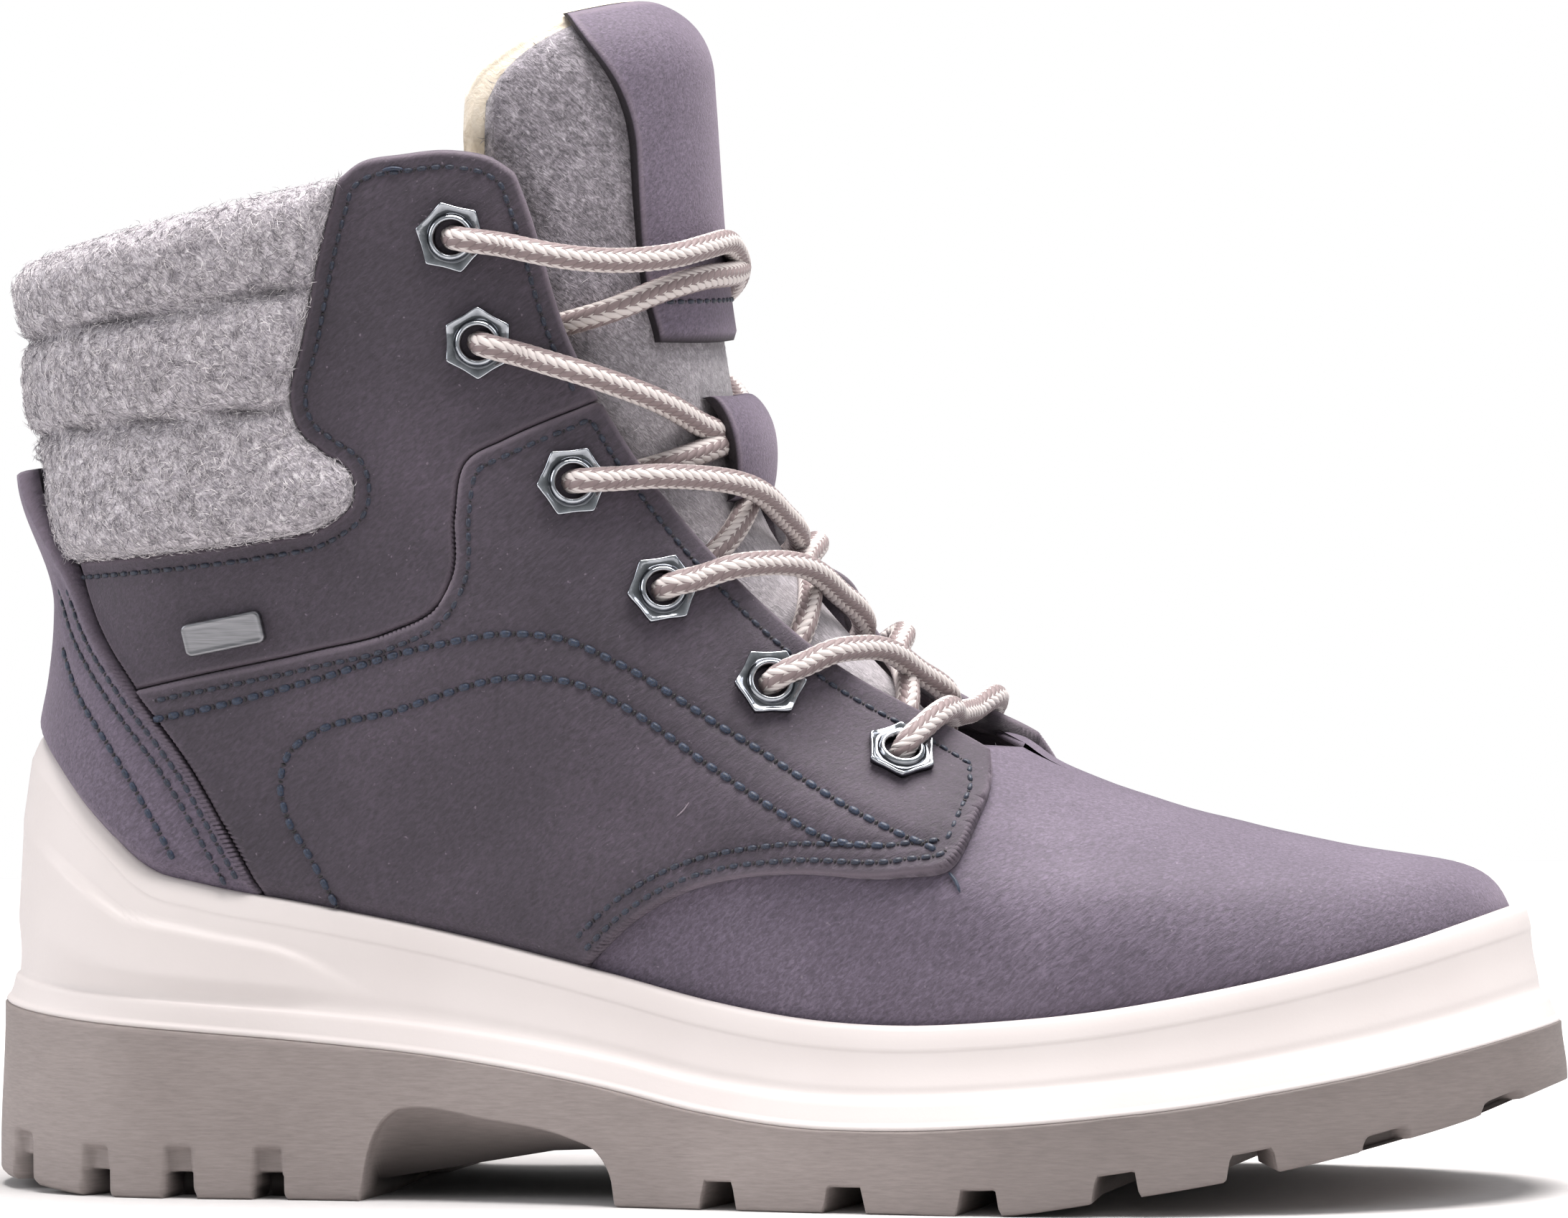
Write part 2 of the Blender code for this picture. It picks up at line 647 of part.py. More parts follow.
def rim_path(x_from, x_to):
    """Side-view line a small clearance above the midsole's rim, through the rim's own corners."""
    half = TURNS[TURNS <= 0]
    corner_x = on_last(rim_level(half), half, CUP_CLEARANCE)[::-1, 0]
    low, high = sorted((x_from, x_to))
    x = np.concatenate([[low], corner_x[(corner_x > low + 1) & (corner_x < high - 1)], [high]])
    line = np.column_stack([x, np.interp(x, corner_x, sole_line("rim", corner_x)) + RIM_CLEARANCE])
    return line if x_from < x_to else line[::-1]


def inset(outline, distance):
    """Closed outline drawn in by a set distance, its repeated points dropped."""
    keep = np.linalg.norm(outline - np.roll(outline, 1, axis=0), axis=1) > 0.05
    points = outline[keep]
    ahead = np.roll(points, -1, axis=0) - points
    ahead = ahead / np.linalg.norm(ahead, axis=1, keepdims=True)
    area = (points[:, 0] * np.roll(points[:, 1], -1) - points[:, 1] * np.roll(points[:, 0], -1)).sum()
    left = np.sign(area) * np.column_stack([-ahead[:, 1], ahead[:, 0]])
    mean = left + np.roll(left, 1, axis=0)
    mean = mean / np.maximum((mean * left).sum(axis=1, keepdims=True), 0.4)
    return points + distance * mean


def quarter_outline():
    throat = stretch(smooth_path(THROAT), QUARTER_TOP[0][1], THROAT[-1][1])
    counter = stretch(smooth_path(COUNTER_EDGE), QUARTER_TOP[-1][1], COUNTER_EDGE[-1][1])
    rim = rim_path(VAMP_SEAM[-1][0] - RIM_END, COUNTER_EDGE[-1][0] + RIM_END)
    top = smooth_path(QUARTER_TOP)
    return np.vstack([throat, smooth_path(VAMP_SEAM), rim, counter[::-1], top[::-1]])


def shaft_outline():
    throat = stretch(smooth_path(THROAT), SHAFT_TOP[-1][1], QUARTER_TOP[0][1])
    counter = stretch(smooth_path(COUNTER_EDGE), FELT_EDGE[-1][1], QUARTER_TOP[-1][1])
    felt = smooth_path(FELT_EDGE)
    quarter = smooth_path(QUARTER_TOP)
    return np.vstack([smooth_path(SHAFT_TOP), throat, quarter, counter[::-1], felt[::-1]])


def counter_outline():
    behind = np.array([(CUT_BEHIND_X, SOLE_ROWS[0][1]), (CUT_BEHIND_X, COUNTER_TOP_Z)])
    return np.vstack([smooth_path(COUNTER_EDGE), rim_path(COUNTER_EDGE[-1][0] - RIM_END, 0.0), behind])


def felt_outline():
    front = FELT_EDGE[0][0]
    above = np.array([(front, CUT_ABOVE_Z), (CUT_BEHIND_X, CUT_ABOVE_Z), (CUT_BEHIND_X, COUNTER_TOP_Z)])
    counter = stretch(smooth_path(COUNTER_EDGE), COUNTER_TOP_Z, FELT_EDGE[-1][1])
    return np.vstack([counter, smooth_path(FELT_EDGE)[::-1], above])


def make_layer(name, layer, outline, y_from, y_to):
    """Overlay: the form between two offsets of the last, within its side-view outline."""
    outer, low, high = LAYERS[layer]
    mesh = shell_solid(name, layer_levels(low, high), GAP, outer)
    piece = add_part(name, mesh, LEATHER)
    boolean(piece, prism(name + "_cutter", inset(outline, EDGE_INSET), y_from, y_to), "INTERSECT")
    return piece


def felt_offset(level, turn):
    """Felt thickness: rolls that swell as half sines between the grooves."""
    ahead = np.clip(np.abs(turn) / FELT_AHEAD_TURN, 0.0, 1.0)
    low = FELT_GROOVES_BACK[0] + (FELT_GROOVES_AHEAD[0] - FELT_GROOVES_BACK[0]) * ahead
    high = FELT_GROOVES_BACK[1] + (FELT_GROOVES_AHEAD[1] - FELT_GROOVES_BACK[1]) * ahead
    ends = np.where(level < low, FELT_BOTTOM, np.where(level < high, low, high))
    tops = np.where(level < low, low, np.where(level < high, high, FELT_TOP))
    swell = np.sin(np.pi * np.clip((level - ends) / (tops - ends), 0.0, 1.0))
    return FELT_GROOVE + (FELT_ROLL - FELT_GROOVE) * swell ** FELT_SWELL_POWER


def make_felt_collar():
    levels = np.linspace(FELT_BOTTOM, FELT_TOP, 3 * FELT_ROWS_PER_ROLL + 1)
    outer = felt_offset(levels[:, None], TURNS[None, :])
    mesh = shell_solid("felt_collar", levels, GAP + EDGE_INSET, outer)
    piece = add_part("felt_collar", mesh, FELT)
    cutter = prism("felt_cutter", inset(felt_outline(), EDGE_INSET), -CUT_ACROSS, CUT_ACROSS)
    boolean(piece, cutter, "INTERSECT")
    return piece


def ridge_turn(share):
    """Ring place from a share counted from the ridge: below 0 lateral, above 0 medial."""
    return np.where(share < 0, -1 - share, 1 - share)


def find_on_last(point, direction, level, share):
    """Where a line through a point meets the last: level and ridge share, by Newton steps."""
    direction = direction / np.linalg.norm(direction)
    first = np.cross(direction, (0.31, 0.17, 0.93))
    second = np.cross(direction, first)
    across = np.stack([first, second])
    small = 0.0005
    for _ in range(40):
        here = across @ (last_surface(level, ridge_turn(share)) - point)
        by_level = across @ (last_surface(level + small, ridge_turn(share)) - point) - here
        by_share = across @ (last_surface(level, ridge_turn(share + small)) - point) - here
        step = np.linalg.solve(np.column_stack([by_level, by_share]) / small, here)
        level = level - np.clip(step[0], -0.5, 0.5)
        share = share - np.clip(step[1], -0.1, 0.1)
    return float(level), float(share)


def side_place(x, z, side):
    """Level and ridge share of a side-view point on one side of the boot."""
    return find_on_last(np.array([x, 0.0, z]), np.array([0.0, 1.0, 0.0]), START_LEVEL, side * START_SHARE)


def seat_frame(level, share, height, turn_deg):
    """Point above the last with its normal and two directions along the surface."""
    turn = ridge_turn(share)
    normal = last_normal(level, turn)
    point = last_surface(level, turn) + height * normal
    flat = np.cross((0.0, 0.0, 1.0), normal)
    flat = flat / np.linalg.norm(flat)
    rise = np.cross(normal, flat)
    angle = np.radians(turn_deg)
    along = np.cos(angle) * flat + np.sin(angle) * rise
    return point, normal, along, np.cross(normal, along)


def eyelet_frame(row, side):
    x, z, turn_deg, layer = row
    level, share = side_place(x, z, side)
    return seat_frame(level, share, LAYERS[layer][0] + EYELET_SEAT, turn_deg)


def make_eyelet(name, row, side):
    """Ring of a turned profile whose flange is six-sided with hollow sides."""
    point, normal, along, across = eyelet_frame(row, side)
    angle = np.linspace(0.0, 2 * np.pi, EYELET_POINTS, endpoint=False)
    rings = []
    for radius, height, six_sided in EYELET_PROFILE:
        reach = radius * (1 + six_sided * EYELET_WAIST * np.cos(6 * angle))
        plane = np.cos(angle)[:, None] * along + np.sin(angle)[:, None] * across
        rings.append(point + height * normal + reach[:, None] * plane)
    rings = np.array(rings)
    build = bmesh.new()
    corners = [build.verts.new(place) for place in to_world(rings.reshape(-1, 3))]
    for face in grid_faces(len(rings) + 1, EYELET_POINTS, True):
        build.faces.new([corners[i % len(corners)] for i in face])
    return add_part(name, tidy_mesh(name, build), METAL)


def eyelet_holes():
    """Cutter of one short rod for each eyelet, along its axis."""
    build = bmesh.new()
    for row in EYELETS:
        for side in (-1, 1):
            point, normal, along, across = eyelet_frame(row, side)
            turn = Vector(normal).to_track_quat("Z", "Y").to_matrix().to_4x4()
            place = Matrix.Translation(to_world(point)) @ turn
            bmesh.ops.create_cone(build, cap_ends=True, segments=HOLE_SIDES, radius1=HOLE_RADIUS * MM,
                                  radius2=HOLE_RADIUS * MM, depth=HOLE_DEPTH * MM, matrix=place)
    return add_cutter("eyelet_holes", tidy_mesh("eyelet_holes", build))


def lace_surface_path(start, end, lift_deg, gather):
    """Stretched path over the last between two side places: chord points lifted onto it."""
    ends = [last_surface(level, ridge_turn(share)) for level, share in (start, end)]
    lift = np.array([np.cos(np.radians(lift_deg)), 0.0, np.sin(np.radians(lift_deg))])
    shares = np.linspace(0.0, 1.0, LACE_SAMPLES)
    places = [start]
    for t in shares[1:]:
        chord = ends[0] + t * (ends[1] - ends[0])
        drop = 0.5 + 0.5 * np.sign(t - 0.5) * abs(2 * t - 1) ** gather
        chord[2] = ends[0][2] + drop * (ends[1][2] - ends[0][2])
        places.append(find_on_last(chord, lift, *places[-1]))
    return np.array(places)


def in_throat(places):
    points = last_surface(places[:, 0], ridge_turn(places[:, 1]))
    curve = smooth_path(THROAT)[::-1]
    return points[:, 0] > np.interp(points[:, 2], curve[:, 1], curve[:, 0])


def strand_points(start, end, lift_deg, rest, gather, both_over):
    """Centre line of one strand: over the eyelet and facing, then down to the tongue."""
    places = lace_surface_path(start, end, lift_deg, gather)
    shares = np.linspace(0.0, 1.0, LACE_SAMPLES)
    inside = np.flatnonzero(in_throat(places))
    opens = shares[inside[0]]
    closes = shares[inside[-1]]
    points = last_surface(places[:, 0], ridge_turn(places[:, 1]))
    length = np.linalg.norm(np.diff(points, axis=0), axis=1).sum()
    hold = LACE_HOLD / length
    leave = smooth_step((shares - hold) / (opens - hold))
    height = LACE_ON_EYELET + (LACE_ON_FACING - LACE_ON_EYELET) * leave
    if both_over:
        height = np.maximum(height, height[::-1])
        stop = 1.0
    else:
        fall = smooth_step((shares - opens) / (LACE_FALL * (closes - opens)))
        height = height + (rest - LACE_ON_FACING) * fall
        stop = closes - LACE_END_CLEARANCE / length
    points = on_last(places[:, 0], ridge_turn(places[:, 1]), height)
    at = np.linspace(0.0, stop, LACE_POINTS)
    return np.stack([np.interp(at, shares, points[:, k]) for k in range(3)], axis=-1)


def tube_object(name, points, radius):
    """Capped tube along points, made a closed mesh."""
    curve = bpy.data.curves.new(name, "CURVE")
    curve.dimensions = "3D"
    curve.bevel_depth = radius * MM
    curve.bevel_resolution = 1
    curve.use_fill_caps = True
    spline = curve.splines.new("POLY")
    spline.points.add(len(points) - 1)
    for corner, place in zip(spline.points, to_world(points)):
        corner.co = (*place, 1.0)
    drawn = bpy.data.objects.new(name + "_path", curve)
    PARTS.objects.link(drawn)
    bpy.context.view_layer.update()
    mesh = bpy.data.meshes.new_from_object(drawn.evaluated_get(bpy.context.evaluated_depsgraph_get()))
    bpy.data.objects.remove(drawn, do_unlink=True)
    build = bmesh.new()
    build.from_mesh(mesh)
    bmesh.ops.remove_doubles(build, verts=build.verts[:], dist=0.01 * MM)
    return tidy_mesh(name, build)


def make_laces():
    """Five crossings, each of two strands joined where they meet, and the bottom bar."""
    places = {side: [side_place(row[0], row[1], side) for row in EYELETS] for side in (-1, 1)}
    for i, crossing in enumerate(LACE_CROSSINGS):
        name = f"lace_cross_{i + 1}"
        first = strand_points(places[-1][i], places[1][i + 1], *crossing, False)
        second = strand_points(places[1][i], places[-1][i + 1], *crossing, False)
        piece = add_part(name, tube_object(name, first, LACE_RADIUS), LACE)
        other = add_cutter(name + "_other", tube_object(name + "_other", second, LACE_RADIUS))
        boolean(piece, other, "UNION")
    bar = strand_points(places[-1][-1], places[1][-1], BAR_LIFT_DEG, LACE_ON_FACING, 1.0, True)
    add_part("lace_bar", tube_object("lace_bar", bar, LACE_RADIUS), LACE)


def front_stations(count):
    """Ring stations next to the ridge, from the medial to the lateral side."""
    share = np.arange(count, -count - 1, -1) * 2.0 / RING_POINTS
    return ridge_turn(share)


def make_tongue_strip():
    levels = np.array(STRIP_LEVELS)
    seat = GAP - (WALL + TONGUE_DROP)
    rows = on_last(levels[:, None], front_stations(STRIP_STATIONS)[None, :], seat)
    piece = add_part("tongue_strip", open_grid_mesh("tongue_strip", rows), LEATHER)
    solidify(piece, STRIP_THICK, 1.0)
    return piece


def make_tongue_loop():
    """Lace keeper: a band that stands off the tongue between its two sewn ends."""
    levels = np.array(LOOP_LEVELS)
    share = (levels - levels[0]) / (levels[-1] - levels[0])
    stand = LOOP_SEAT - (WALL + TONGUE_DROP) + LOOP_BULGE * np.sin(np.pi * share) ** LOOP_POWER
    turns = ridge_turn(np.linspace(LOOP_SHARE, -LOOP_SHARE, LOOP_POINTS))
    rows = on_last(levels[:, None], turns[None, :], np.repeat(stand[:, None], len(turns), axis=1))
    piece = add_part("tongue_loop", open_grid_mesh("tongue_loop", rows), LEATHER)
    solidify(piece, LOOP_THICK, 1.0)
    return piece


def make_badge():
    level, share = side_place(*BADGE_PLACE, -1)
    height = LAYERS["shaft"][0] + BADGE_SEAT
    point, normal, along, across = seat_frame(level, share, height, BADGE_TURN_DEG)
    build = bmesh.new()
    axes = Matrix((along, across, normal)).transposed().to_4x4()
    size = Matrix.Diagonal((*(np.array(BADGE_SIZE) * MM), 1.0))
    bmesh.ops.create_cube(build, size=1.0, matrix=Matrix.Translation(to_world(point)) @ axes @ size)
    piece = add_part("badge_plate", tidy_mesh("badge_plate", build), BADGE)
    edge = piece.modifiers.new("edge", "BEVEL")
    edge.width = BADGE_EDGE * MM
    edge.segments = 1
    return piece


clear_scene()
PARTS = new_collection("winter_boot")
CUTTERS = new_collection("cutters")
LEATHER = material("leather")
FELT = material("felt")
METAL = material("eyelet")
LACE = material("lace")
BADGE = material("badge")
make_outsole()
make_midsole()
make_insole()
HOLES = eyelet_holes()
boolean(make_upper(), HOLES, "DIFFERENCE")
make_tongue()
make_tongue_strip()
make_tongue_loop()
for SIDE, Y_FROM, Y_TO in (("lateral", -CUT_ACROSS, -SIDE_SPLIT), ("medial", SIDE_SPLIT, CUT_ACROSS)):
    boolean(make_layer("quarter_" + SIDE, "quarter", quarter_outline(), Y_FROM, Y_TO), HOLES, "DIFFERENCE")
    boolean(make_layer("shaft_" + SIDE, "shaft", shaft_outline(), Y_FROM, Y_TO), HOLES, "DIFFERENCE")
    for NUMBER, ROW in enumerate(EYELETS, 1):
        make_eyelet(f"eyelet_{SIDE}_{NUMBER}", ROW, -1 if SIDE == "lateral" else 1)
make_layer("heel_counter", "counter", counter_outline(), -CUT_ACROSS, CUT_ACROSS)
make_felt_collar()
make_laces()
make_badge()
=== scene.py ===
# Winter boot, right foot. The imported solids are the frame, and every surface here is drawn over them
# from the same last: a stack of rings that run from the front ridge by the lateral side to the back
# line (turn -1 to 0) and on by the medial side (turn 0 to 1). Working unit is the millimetre.
import bpy
import bmesh
import numpy as np
from mathutils import Matrix, Vector
from mathutils.geometry import delaunay_2d_cdt


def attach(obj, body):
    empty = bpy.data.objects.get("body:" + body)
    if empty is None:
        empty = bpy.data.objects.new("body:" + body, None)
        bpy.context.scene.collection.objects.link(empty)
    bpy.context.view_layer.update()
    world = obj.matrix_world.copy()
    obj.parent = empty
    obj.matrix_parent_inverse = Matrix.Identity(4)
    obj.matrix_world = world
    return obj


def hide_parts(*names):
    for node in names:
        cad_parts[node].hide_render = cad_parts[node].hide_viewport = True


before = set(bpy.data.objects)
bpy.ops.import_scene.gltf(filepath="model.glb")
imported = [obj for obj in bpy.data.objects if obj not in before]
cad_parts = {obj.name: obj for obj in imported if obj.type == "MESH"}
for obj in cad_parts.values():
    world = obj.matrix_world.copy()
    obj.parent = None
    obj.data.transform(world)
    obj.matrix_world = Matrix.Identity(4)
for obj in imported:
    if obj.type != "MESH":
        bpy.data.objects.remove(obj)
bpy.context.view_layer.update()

chance = np.random.default_rng(11)
originX, originY = 142.625, 2.198    # the part's own middle, in the last's millimetres

# rings of the last from the footbed to above the collar, one value for each level 0 to 10
lastRings = {
    "backX": (15, 12, 11.3, 12, 14, 15.2, 15.3, 14, 12.6, 10.8, 9),
    "backZ": (46, 60, 70, 81, 91, 101, 113, 131, 150, 166, 186),
    "frontX": (275, 275.5, 268, 245, 215, 188, 165, 145.5, 138, 135, 134),
    "frontZ": (40, 50, 58.8, 63.3, 68.5, 79.5, 98.5, 124, 155, 194, 216),
    "heelHalf": (28, 30, 30.8, 31, 31.5, 32.5, 34, 36, 37.5, 38.5, 39.5),
    "ballHalf": (43.5, 45, 44, 40.5, 38, 37, 37, 37.5, 38.5, 39, 39),
    "heelRound": (32, 32, 33, 34, 35, 37, 40, 44, 47, 48, 48),
    "toeRound": (78, 76, 95, 112, 110, 95, 80, 66, 60, 58, 56),
    "follow": (1, 0.75, 0.45, 0.2, 0, 0, 0, 0, 0, 0, 0),
}
# side-view heights of the sole along the foot
soleLines = {
    "x": (0, 12, 27, 37, 47, 66, 95, 124, 142, 161, 178, 197, 215, 231, 248, 263, 276, 288),
    "rim": (84, 81, 67, 58.6, 55.8, 52.4, 47, 40.5, 36.2, 33.2, 32.4, 33.4, 35.4, 38.2, 41.9, 46, 50.5, 55),
    "seam": (33.6, 32.4, 31.1, 30.4, 29.7, 28.3, 25.4, 20.8, 17, 14.7, 14.5, 15.5, 17.1, 19, 21.8, 24.6,
             27.6, 30.8),
    "tread": (2.2, 1.5, 0, 0, 0, 0, 0, 0, 0, 0, 0, 0, 2.5, 5, 8.2, 11.8, 15.6, 20.6),
    "bed": (46.5, 46, 45, 44.2, 43.3, 41.3, 36.2, 29.5, 25.6, 22.6, 21.5, 22.2, 24.2, 27, 31.2, 35.4, 39.6, 44),
}
lastForm = {"endPower": 2.2, "swing": 7, "swingFrom": 110, "swingTo": 276, "waistX": 118, "waistSpread": 48,
            "waistLevels": 5, "pinchMedial": 4, "pinchLateral": 1.2, "pinchFull": 20, "widenFrom": 0.2,
            "widenOver": 0.55, "belly": 2.5, "bellyFrom": 6, "bellyOver": 3}


def smoothThrough(knots, values, at):
    # cubic through the knots, each slope the mean of its two neighbours weighted by their spans
    knots, values, at = np.asarray(knots, float), np.asarray(values, float), np.asarray(at, float)
    step = np.diff(knots)
    rise = np.diff(values) / step
    slope = np.concatenate([rise[:1], (rise[:-1] * step[1:] + rise[1:] * step[:-1]) / (step[:-1] + step[1:]),
                            rise[-1:]])
    i = np.clip(np.searchsorted(knots, at, "right") - 1, 0, len(knots) - 2)
    t = (at - knots[i]) / step[i]
    start = (1 + 2 * t) * (1 - t) ** 2 * values[i] + t * (1 - t) ** 2 * step[i] * slope[i]
    return start + t * t * (3 - 2 * t) * values[i + 1] + t * t * (t - 1) * step[i] * slope[i + 1]


def smoothStep(t):
    # 0 to 1 by a cubic that is level at both ends
    t = np.clip(t, 0, 1)
    return t * t * (3 - 2 * t)


def soleLine(name, x):
    # height of one line of the sole's side view
    return smoothThrough(soleLines["x"], soleLines[name], x)


def quarterRound(distance, length, power):
    # share of the full height near a rounded edge: quarter of a superellipse
    left = np.clip(1 - distance / length, 0, 1)
    return (1 - left ** power) ** (1 / power)


def lastSurface(level, turn):
    # ring point: x by half a cosine of the turn, width by the two rounded ends, height level by level
    level, turn = np.broadcast_arrays(np.asarray(level, float), np.asarray(turn, float))
    ring = {name: smoothThrough(np.arange(11), column, level) for name, column in lastRings.items()}
    along = (1 - np.cos(np.pi * np.abs(turn))) / 2
    x = ring["backX"] + (ring["frontX"] - ring["backX"]) * along
    widen = smoothStep((along - lastForm["widenFrom"]) / lastForm["widenOver"])
    half = ring["heelHalf"] * (1 - widen) + ring["ballHalf"] * widen
    half = half * quarterRound(x - ring["backX"], ring["heelRound"], lastForm["endPower"])
    half = half * quarterRound(ring["frontX"] - x, ring["toeRound"], lastForm["endPower"])
    waist = np.exp(-((x - lastForm["waistX"]) / lastForm["waistSpread"]) ** 2)
    waist = waist * np.clip(1 - level / lastForm["waistLevels"], 0, 1)
    pinch = np.where(turn > 0, lastForm["pinchMedial"], lastForm["pinchLateral"])
    half = half - pinch * waist * np.minimum(1, half / lastForm["pinchFull"])
    swing = np.clip((x - lastForm["swingFrom"]) / (lastForm["swingTo"] - lastForm["swingFrom"]), 0, 1.1) ** 2
    y = np.sign(turn) * half + lastForm["swing"] * swing
    high = np.clip((level - lastForm["bellyFrom"]) / lastForm["bellyOver"], 0, 1)
    belly = lastForm["belly"] * 4 * along * (1 - along) * high
    plain = ring["backZ"] + (ring["frontZ"] - ring["backZ"]) * along + belly
    footBack, footFront = lastRings["backZ"][0], lastRings["frontZ"][0]
    lift = (ring["backZ"] - footBack) * (1 - along) + (ring["frontZ"] - footFront) * along
    z = plain * (1 - ring["follow"]) + (soleLine("bed", x) + lift) * ring["follow"]
    return np.stack([x, y, z], axis=-1)


def lastSlopes(level, turn):
    # change of the ring point with level and with turn, from small steps both ways
    small = 0.001
    turn = np.clip(turn, -1 + 2 * small, 1 - 2 * small)
    up = (lastSurface(level + small, turn) - lastSurface(level - small, turn)) / (2 * small)
    ahead = (lastSurface(level, turn + small) - lastSurface(level, turn - small)) / (2 * small)
    return up, ahead


def unit(vectors):
    # vectors divided by their lengths
    return vectors / np.maximum(np.linalg.norm(vectors, axis=-1, keepdims=True), 1e-9)


def lastNormal(level, turn):
    # outward: cross product of the two slopes
    return unit(np.cross(*lastSlopes(level, turn)))


def onLast(level, turn, offset):
    # the last's point moved out along its normal
    level, turn, offset = np.broadcast_arrays(*(np.asarray(v, float) for v in (level, turn, offset)))
    return lastSurface(level, turn) + offset[..., None] * lastNormal(level, turn)


def ridgeTurn(share):
    # share counts from the front ridge: below 0 lateral, above 0 medial
    share = np.asarray(share, float)
    return np.where(share < 0, -1 - share, 1 - share)


def sidePlace(path):
    # side-view points to ring level and turn: nearest of a coarse net, then Newton steps
    path = np.asarray(path, float)
    netLevel, netAlong = (net.ravel() for net in np.meshgrid(np.linspace(0, 10, 101), np.linspace(0, 1, 101)))
    turnOf = lambda along: np.arccos(np.clip(1 - 2 * along, -1, 1)) / np.pi
    sideView = lambda level, along: lastSurface(level, turnOf(along))[:, [0, 2]]
    net = sideView(netLevel, netAlong)
    nearest = np.concatenate([np.argmin(((net[None] - some[:, None]) ** 2).sum(-1), axis=1)
                              for some in np.array_split(path, len(path) // 200 + 1)])
    level, along = netLevel[nearest], netAlong[nearest]
    small = 1e-4
    for step in range(8):
        here = sideView(level, along)
        inner = np.clip(along, 0, 1 - small)
        byLevel = (sideView(level + small, along) - here) / small
        byAlong = (sideView(level, inner + small) - sideView(level, inner)) / small
        miss = path - here
        area = byLevel[:, 0] * byAlong[:, 1] - byLevel[:, 1] * byAlong[:, 0]
        area = np.where(np.abs(area) < 1e-6, 1e-6, area)
        moveLevel = (miss[:, 0] * byAlong[:, 1] - miss[:, 1] * byAlong[:, 0]) / area
        moveAlong = (byLevel[:, 0] * miss[:, 1] - byLevel[:, 1] * miss[:, 0]) / area
        level = np.clip(level + np.clip(moveLevel, -0.3, 0.3), -0.5, 10.6)
        along = np.clip(along + np.clip(moveAlong, -0.1, 0.1), 0, 1)
    return level, turnOf(along)


def runLength(points):
    # length of a path up to each of its points
    return np.append(0, np.cumsum(np.linalg.norm(np.diff(points, axis=0), axis=1)))


def alongPath(points, run, at):
    # points at given lengths along a path, straight between its own
    return np.stack([np.interp(at, run, points[:, k]) for k in range(points.shape[1])], axis=-1)


def smoothPath(points, spacing=0.8):
    # smooth curve through a few side-view points, sampled evenly
    points = np.asarray(points, float)
    run = runLength(points)
    at = np.linspace(0, run[-1], int(run[-1] / spacing) + 2)
    return np.stack([smoothThrough(run, points[:, k], at) for k in range(points.shape[1])], axis=-1)


def insetPath(path, distance):
    # path moved to its left by a distance in the side view
    ahead = unit(np.gradient(path, axis=0))
    return path + distance * np.column_stack([-ahead[:, 1], ahead[:, 0]])


def distanceToPath(points, path, closed=False):
    # least distance from each point to the straight pieces of a path
    ends = np.roll(path, -1, axis=0) if closed else path[1:]
    starts = path if closed else path[:-1]
    along = ends - starts
    size = np.maximum((along ** 2).sum(-1), 1e-9)
    found = []
    for some in np.array_split(points, max(1, len(points) * len(starts) // 2000000)):
        gap = some[:, None] - starts[None]
        t = np.clip((gap * along[None]).sum(-1) / size, 0, 1)
        found.append(np.sqrt(((gap - t[..., None] * along[None]) ** 2).sum(-1).min(axis=1)))
    return np.concatenate(found)


def gridFaces(rows, columns, closed=False):
    # quads of a grid; for level rows and turn columns they face out of the boot
    last = columns if closed else columns - 1
    low = (np.arange(rows - 1)[:, None] * columns + np.arange(last)[None]).ravel()
    side = (np.arange(rows - 1)[:, None] * columns + (np.arange(last)[None] + 1) % columns).ravel()
    return np.column_stack([low, low + columns, side + columns, side])


def halves(quads):
    # quads cut into triangles
    return np.concatenate([quads[:, [0, 1, 2]], quads[:, [0, 2, 3]]])


def circle(count):
    # evenly spaced angles once round
    return np.linspace(0, 2 * np.pi, count, endpoint=False)


def addPiece(name, points, faces, finish, stands=(), tones=None, uv=None, weld=False):
    # mesh from whole arrays: points in millimetres, face blocks of three or four corners
    blocks = [np.asarray(block) for block in (faces if isinstance(faces, list) else [faces])]
    points = (np.asarray(points, float).reshape(-1, 3) - (originX, originY, 0)) * 0.001
    mesh = bpy.data.meshes.new(name)
    mesh.vertices.add(len(points))
    mesh.vertices.foreach_set("co", points.ravel())
    corners = np.concatenate([block.ravel() for block in blocks])
    sizes = np.concatenate([np.full(len(block), block.shape[1]) for block in blocks])
    mesh.loops.add(len(corners))
    mesh.loops.foreach_set("vertex_index", corners.astype(np.int32))
    mesh.polygons.add(len(sizes))
    mesh.polygons.foreach_set("loop_start", (np.cumsum(sizes) - sizes).astype(np.int32))
    for toneName, values in (tones or {}).items():
        layer = mesh.attributes.new(toneName, "FLOAT", "POINT")
        layer.data.foreach_set("value", np.asarray(values, np.float32).ravel())
    if uv is not None:
        layer = mesh.uv_layers.new(name="UVMap")
        layer.data.foreach_set("uv", np.asarray(uv, np.float32).reshape(-1, 2)[corners].ravel())
    mesh.update(calc_edges=True)
    mesh.validate()
    if weld:
        build = bmesh.new()
        build.from_mesh(mesh)
        bmesh.ops.remove_doubles(build, verts=build.verts[:], dist=1e-6)
        bmesh.ops.recalc_face_normals(build, faces=build.faces[:])
        build.to_mesh(mesh)
        build.free()
    mesh.shade_smooth()
    piece = bpy.data.objects.new(name, mesh)
    piece.data.materials.append(finish)
    bpy.context.scene.collection.objects.link(piece)
    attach(piece, "root")
    if stands:
        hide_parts(*stands)
    return piece


